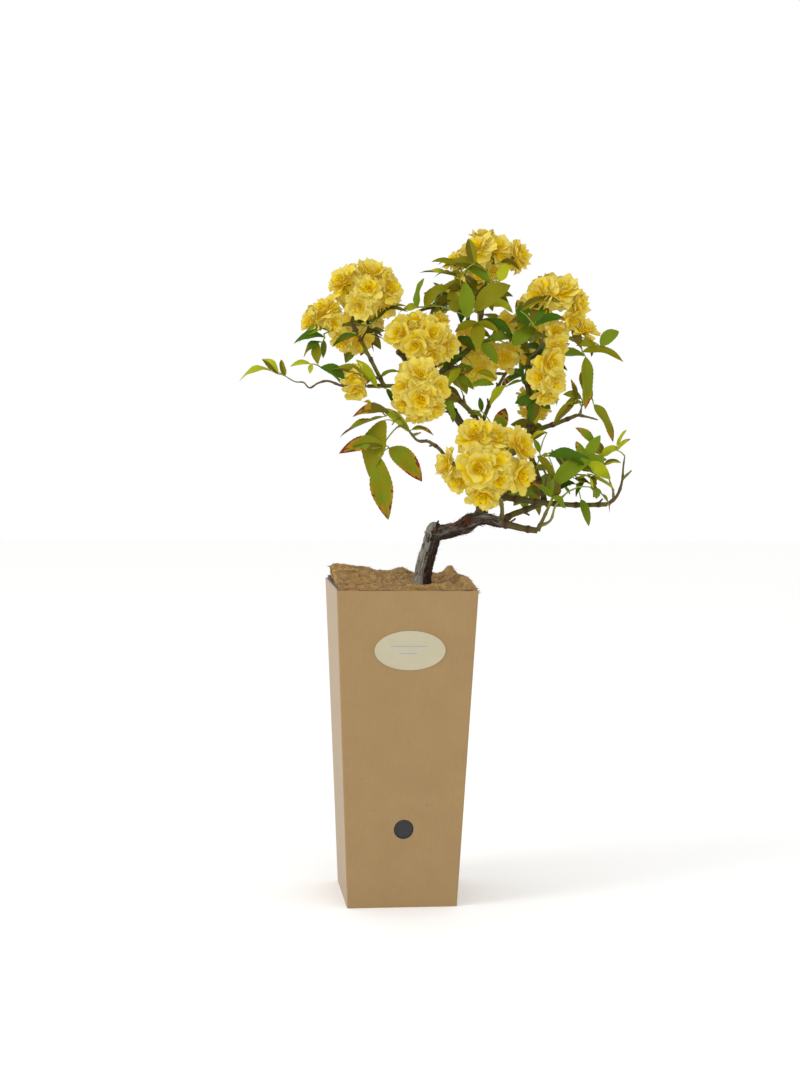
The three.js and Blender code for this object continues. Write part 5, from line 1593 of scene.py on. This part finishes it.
# %% [markdown]
# Kraft board is pressed from brown pulp. Up close it is mottled by cloudy pulp, with pale fibres lying mostly one
# way, and dark specks of bark. It is matt, with a faint polish from the rollers.

# %% Kraft board material
kraft, tree, shader = start_material("kraft_board", "#927445", 0.78)
feed(tree, shader, {"Sheen Weight": 0.28, "Sheen Roughness": 0.6})
spot = add(tree, "TexCoord").outputs["Object"]
cloud = add(tree, "TexNoise", {"Vector": spot, "Scale": per_metre(22), "Detail": 5})
along_sheet = add(tree, "Mapping", {"Vector": spot, "Scale": (1, 1, 0.22)})
fibre = add(tree, "TexNoise", {"Vector": along_sheet.outputs["Vector"], "Scale": per_metre(1.3), "Detail": 4})
base = add(tree, "Mix", {0: cloud.outputs["Fac"], 6: linear("#8c6e40"), 7: linear("#97794a")}, data_type="RGBA")
fibred = add(tree, "Mix", {0: 0.16, 6: base.outputs[2], 7: fibre.outputs["Color"]}, data_type="RGBA",
             blend_type="SOFT_LIGHT")
cells = add(tree, "TexVoronoi", {"Vector": spot, "Scale": per_metre(11)})
speck = add(tree, "MapRange", {"Value": cells.outputs["Distance"], "From Min": 0.05, "From Max": 0.035})
seldom = add(tree, "Math", {0: cloud.outputs["Fac"], 1: 0.56}, operation="GREATER_THAN")
specks = add(tree, "Math", {0: speck.outputs["Result"], 1: seldom.outputs["Value"]}, operation="MULTIPLY")
board = add(tree, "Mix", {0: specks.outputs["Value"], 6: fibred.outputs[2], 7: linear("#5d4528")}, data_type="RGBA")
lift = add(tree, "Bump", {"Height": fibre.outputs["Fac"], "Strength": 0.25, "Distance": 0.0002})
feed(tree, shader, {"Base Color": board.outputs[2], "Normal": lift.outputs["Normal"]})

sleeve_piece = finish_piece("card_sleeve", sleeve_mesh, [kraft], Matrix.Scale(MM, 4))
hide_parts("sleeve")

# %% [markdown]
# ## The oval label
#
# The label is a paper sticker: a thin oval with a soft edge, cream coloured and slightly glossy. Two plain ruled
# lines stand where a gardener would write. A bmesh circle is filled, scaled to an oval, thickened and bevelled.

# %% Label
LABEL = {"across": 2.5, "up": 218.5, "half_width": 29.5, "half_height": 16.5, "thick": 0.45, "soften": 0.15}
FACE_SLOPE = math.atan2((SLEEVE_TOP - SLEEVE_FOOT) / 2, SLEEVE_HEIGHT)
LABEL_PLACE = Matrix.Translation((LABEL["across"], -sleeve_width(LABEL["up"]) / 2 - 0.1, LABEL["up"]))
LABEL_PLACE = Matrix.Scale(MM, 4) @ LABEL_PLACE @ Matrix.Rotation(math.pi / 2 + FACE_SLOPE, 4, "X")


def thin_plate(shape, faces, thick, soften):
    """Raises flat faces to a plate of this thickness with a soft upper edge."""
    raised = bmesh.ops.extrude_face_region(shape, geom=faces)["geom"]
    bmesh.ops.translate(shape, verts=[g for g in raised if isinstance(g, bmesh.types.BMVert)], vec=(0, 0, thick))
    rim = [e for e in shape.edges if all(v.co.z > thick * 0.9 for v in e.verts) and e.is_manifold
           and e.calc_face_angle(0) > 0.8]
    bmesh.ops.bevel(shape, geom=rim, offset=soften, offset_type="OFFSET", segments=2, profile=0.5, affect="EDGES",
                    material=-1)
    bmesh.ops.recalc_face_normals(shape, faces=shape.faces)


shape = bmesh.new()
bmesh.ops.create_circle(shape, cap_ends=True, segments=96, radius=1)
bmesh.ops.scale(shape, verts=shape.verts, vec=(LABEL["half_width"], LABEL["half_height"], 1))
thin_plate(shape, shape.faces[:], LABEL["thick"], LABEL["soften"])
label_mesh = mesh_of(shape, "oval_label")

# %% Label paper
paper, tree, shader = start_material("cream_label_paper", "#cfc7a4", 0.42)
spot = add(tree, "TexCoord").outputs["Object"]
pulp = add(tree, "TexNoise", {"Vector": spot, "Scale": per_metre(6), "Detail": 4})
tone = add(tree, "Mix", {0: pulp.outputs["Fac"], 6: linear("#ada488"), 7: linear("#b4ac92")}, data_type="RGBA")
lift = add(tree, "Bump", {"Height": pulp.outputs["Fac"], "Strength": 0.1, "Distance": 0.0001})
feed(tree, shader, {"Base Color": tone.outputs[2], "Normal": lift.outputs["Normal"]})
label_piece = finish_piece("oval_label", label_mesh, [paper], LABEL_PLACE)
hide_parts("label")

# %% Two ruled lines on the label
RULES = ((-1.5, 3.6, 30), (-1.5, -2.4, 15))  # the middle across and up, and the length
RULE_WIDTH, INK_THICK, INK_SOFTEN = 0.7, 0.06, 0.02
shape = bmesh.new()
for middle, up, length in RULES:
    made = bmesh.ops.create_grid(shape, x_segments=1, y_segments=1, size=0.5)["verts"]
    bmesh.ops.scale(shape, verts=made, vec=(length, RULE_WIDTH, 1))
    bmesh.ops.translate(shape, verts=made, vec=(middle, up, LABEL["thick"]))
thin_plate(shape, shape.faces[:], INK_THICK, INK_SOFTEN)
rule_mesh = mesh_of(shape, "ruled_lines")

ink, tree, shader = start_material("blue_grey_ink", "#8b97a0", 0.5)
spot = add(tree, "TexCoord").outputs["Object"]
soak = add(tree, "TexNoise", {"Vector": spot, "Scale": per_metre(0.8), "Detail": 2})
rough = add(tree, "MapRange", {"Value": soak.outputs["Fac"], "To Min": 0.4, "To Max": 0.7})
feed(tree, shader, {"Roughness": rough.outputs["Result"]})
rule_piece = finish_piece("ruled_lines", rule_mesh, [ink], LABEL_PLACE)
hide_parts("label")

# %% [markdown]
# ## The fibre mat
#
# A square of coir and jute felt covers the root ball. It is thick and fuzzy, turned up along the back wall, with soft
# folds and one flap over the sleeve's edge on the right. Its top is a fine bmesh grid lifted to those folds, and
# short fibres are stamped all over it, because felt has no clean outline.

# %% Mat shape
MAT_EDGE, MAT_FOOT, MAT_OVERHANG, RIM_COVER, MAT_CELLS = 267, 257, 7, 2.1, 120
POT_WALL, POT_GAP = 1.2, 0.3
MAT_WIDTH = sleeve_width(MAT_EDGE) - 2 * (SLEEVE_WALL + POT_GAP) - 2 * POT_WALL - 2 * POT_GAP
MAT_TUCK = 2  # how far in from its widest the mat's foot stays


def mat_top(x, y):
    """The felt's height: nearly level round the trunk, and turned up along the back. There it is highest at the
    left, with a hump behind the trunk and a small peak at the right, past which it drops to the corner."""
    half = SLEEVE_TOP / 2
    back = float(smoothstep(-half * 0.1, half * 0.9, y))
    left = float(smoothstep(8, -48, x))
    hump = math.exp(-(((x - 7) / 8) ** 2))
    peak = 0.8 * math.exp(-(((x - 50) / 5) ** 2))
    lumps = 1.2 * math.sin(x / 9 + 1) * math.cos(y / 11)
    back *= 1 - 0.8 * float(smoothstep(51, 56, x))
    return MAT_EDGE + 1.5 + back * (4.5 + 7.5 * left + 4.5 * hump + 7 * peak) + lumps


def crease(x, y, start, end, height, width):
    """A soft ridge of this height between two places."""
    start, end, at = Vector(start), Vector(end), Vector((x, y))
    along = (end - start).normalized()
    share = max(0, min((end - start).length, (at - start).dot(along)))
    gap = (at - start - along * share).length
    return height * math.exp(-((gap / width) ** 2))


def felt_height(x, y):
    """The felt's height with its folds, its lumps and its fine tufts."""
    lump = 1.4 * noise.noise((x * 0.09, y * 0.09, 2)) + 0.8 * noise.noise((x * 0.3, y * 0.3, 5))
    folds = crease(x, y, (-24, -34), (2, 44), 2.6, 5) + crease(x, y, (34, -36), (50, 40), 2.2, 4)
    folds += crease(x, y, (-52, -30), (-20, -46), 2, 5) + crease(x, y, (8, -20), (40, -46), 1.8, 5)
    return mat_top(x, y) + folds + lump + 0.45 * noise.noise((x * 0.9, y * 0.9, 8))


def mat_place(across, back):
    """A place on the felt, from -0.5 to 0.5 each way, with its flap and its rolled edge."""
    x, y = across * MAT_WIDTH, back * MAT_WIDTH
    reach = float(smoothstep(-0.48, -0.3, back) * smoothstep(0, 0.35, 0.45 - back))
    # In front and on the right the felt lies over the pot's rim, right up to the card.
    front, right = float(smoothstep(-0.42, -0.5, back)), float(smoothstep(0.42, 0.5, across))
    # The flap on the right is thick, and its end rolls down beside the card in a quarter turn.
    flap = max(0, min(1, (across - 0.42) / 0.08))
    turn = math.pi / 2 * max(0, (flap - 0.55) / 0.45)
    x += reach * MAT_OVERHANG * (0.55 * min(1, flap / 0.55) + 0.45 * math.sin(turn)) + RIM_COVER * right * (1 - reach)
    y -= RIM_COVER * front
    x -= RIM_COVER * front * float(smoothstep(-0.42, -0.5, across))
    edge = max(abs(across), abs(back))
    over = max(front, right)
    roll = 2.2 * float(smoothstep(0.465, 0.5, edge)) ** 2 * (1 - over)
    lip = reach * (5 * min(1, flap / 0.4) - 9 * (1 - math.cos(turn)))
    return Vector((x, y, felt_height(x, y) - roll + 0.9 * over + lip))


shape = bmesh.new()
bmesh.ops.create_grid(shape, x_segments=MAT_CELLS, y_segments=MAT_CELLS, size=0.5)
for v in shape.verts:
    v.co = mat_place(v.co.x, v.co.y)
rim = [e for e in shape.edges if e.is_boundary]
wall = [g for g in bmesh.ops.extrude_edge_only(shape, edges=rim)["geom"] if isinstance(g, bmesh.types.BMVert)]
for v in wall:
    v.co.z = MAT_FOOT
    v.co.x = max(-MAT_WIDTH / 2 + MAT_TUCK, min(MAT_WIDTH / 2 - MAT_TUCK, v.co.x * 0.98))
    v.co.y = max(-MAT_WIDTH / 2 + MAT_TUCK, min(MAT_WIDTH / 2 - MAT_TUCK, v.co.y * 0.98))
bmesh.ops.holes_fill(shape, edges=[e for e in shape.edges if e.is_boundary], sides=0)
bmesh.ops.recalc_face_normals(shape, faces=shape.faces)
for f in shape.faces:
    f.smooth = True
mat_mesh = mesh_of(shape, "felt_mat")

# %% Loose fibres
STRANDS, STRAND_WIDTH = 7000, 0.32
STRAND = ribbon_template(3)
fibres = Joined()
draw = seeded(5501)
for number in range(STRANDS):
    across, back = draw() - 0.5, draw() - 0.5
    if number % 3 == 0:  # a third of them stand on the mat's sides and back
        edge = 0.5 if draw() < 0.5 else -0.5
        across, back = (edge, back) if draw() < 0.4 else (across, 0.5 if draw() < 0.7 else -0.5)
    root = mat_place(across, back)
    turn = 2 * math.pi * draw()
    length, bend = mix(1.5, 4.5, draw()) * (0.6 if max(abs(across), abs(back)) > 0.45 else 1), mix(-1.4, 1.4, draw())
    rise = mix(0.05, 0.5, draw() ** 2)
    places = []
    for x, y, _ in STRAND.places:
        along = y + 0.5
        angle = turn + bend * along
        out = Vector((math.cos(angle), math.sin(angle), 0))
        side = Vector((-out.y, out.x, 0.3))
        arc = root + out * length * along + UP * (0.15 + rise * length * along * (1 - 0.45 * along))
        places.append((arc + side * x * STRAND_WIDTH)[:])
    fibres.stamp(STRAND, np.array(places), np.full(len(STRAND.sizes), number % 2))

# %% [markdown]
# Coir felt is tan, with lighter and darker fibres tangled every way, so its colour is two stretched noises laid
# across each other, and its bump is coarse. It has no gloss at all.

# %% Felt materials


def felt_material(name, light, dark):
    material, tree, shader = start_material(name, light, 0.95)
    feed(tree, shader, {"Sheen Weight": 0.1})
    spot = add(tree, "TexCoord").outputs["Object"]
    one_way = add(tree, "Mapping", {"Vector": spot, "Scale": (1, 0.2, 1)})
    other_way = add(tree, "Mapping", {"Vector": spot, "Rotation": (0, 0, 0.5), "Scale": (1, 0.25, 1)})
    first = add(tree, "TexNoise", {"Vector": one_way.outputs["Vector"], "Scale": per_metre(0.7), "Detail": 4})
    second = add(tree, "TexNoise", {"Vector": other_way.outputs["Vector"], "Scale": per_metre(0.8), "Detail": 4})
    tangle = add(tree, "Math", {0: first.outputs["Fac"], 1: second.outputs["Fac"]}, operation="MAXIMUM")
    tuft = add(tree, "TexNoise", {"Vector": spot, "Scale": per_metre(5), "Detail": 3})
    both = add(tree, "Math", {0: tangle.outputs["Value"], 1: tuft.outputs["Fac"]}, operation="MULTIPLY")
    shade = add(tree, "MapRange", {"Value": both.outputs["Value"], "From Min": 0.16, "From Max": 0.36})
    colour = add(tree, "Mix", {0: shade.outputs["Result"], 6: linear(dark), 7: linear(light)}, data_type="RGBA")
    lift = add(tree, "Bump", {"Height": tangle.outputs["Value"], "Strength": 0.8, "Distance": 0.0007})
    feed(tree, shader, {"Base Color": colour.outputs[2], "Normal": lift.outputs["Normal"]})
    return material


felt = felt_material("coir_felt", "#b08a44", "#7c5826")
pale_fibre = felt_material("pale_coir_fibre", "#ae8b52", "#8a6633")

mat_piece = finish_piece("felt_mat", mat_mesh, [felt], Matrix.Scale(MM, 4))
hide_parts("fibre_mat")
fibre_piece = fibres.make("mat_fibres", [pale_fibre, felt], Matrix.Scale(MM, 4))
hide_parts("fibre_mat")

# %% [markdown]
# ## The pot and the root ball
#
# Both are shown by the solids themselves, which already have the right shape. The pot is moulded black
# polypropylene with a fine satin grain. The root ball is damp dark potting mix, all crumbs.

# %% Pot and root ball materials
plastic, tree, shader = start_material("black_polypropylene", "#1e1c1d", 0.45)
spot = add(tree, "TexCoord").outputs["Object"]
sparks = add(tree, "TexNoise", {"Vector": spot, "Scale": per_metre(0.7), "Detail": 2})
rough = add(tree, "MapRange", {"Value": sparks.outputs["Fac"], "To Min": 0.38, "To Max": 0.6})
lift = add(tree, "Bump", {"Height": sparks.outputs["Fac"], "Strength": 0.15, "Distance": 0.0001})
feed(tree, shader, {"Roughness": rough.outputs["Result"], "Normal": lift.outputs["Normal"]})

mix_soil, tree, shader = start_material("damp_potting_mix", "#3a2a1e", 0.95)
spot = add(tree, "TexCoord").outputs["Object"]
crumbs = add(tree, "TexVoronoi", {"Vector": spot, "Scale": per_metre(2.5)})
soil = add(tree, "Mix", {0: crumbs.outputs["Distance"], 6: linear("#241a12"), 7: linear("#4a3626")}, data_type="RGBA")
lift = add(tree, "Bump", {"Height": crumbs.outputs["Distance"], "Strength": 1, "Distance": 0.0015})
feed(tree, shader, {"Base Color": soil.outputs[2], "Normal": lift.outputs["Normal"]})

for name, material in (("inner_pot", plastic), ("root_ball", mix_soil)):
    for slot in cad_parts[name].material_slots:
        slot.material = material
    print(name, "is", material.name)

# %% Sizes, and the end
VISUAL_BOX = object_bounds()
for box_name, box in (("CAD box", CAD_BOX), ("visual box", VISUAL_BOX)):
    print(box_name, [round(v, 3) for corner in box for v in corner])
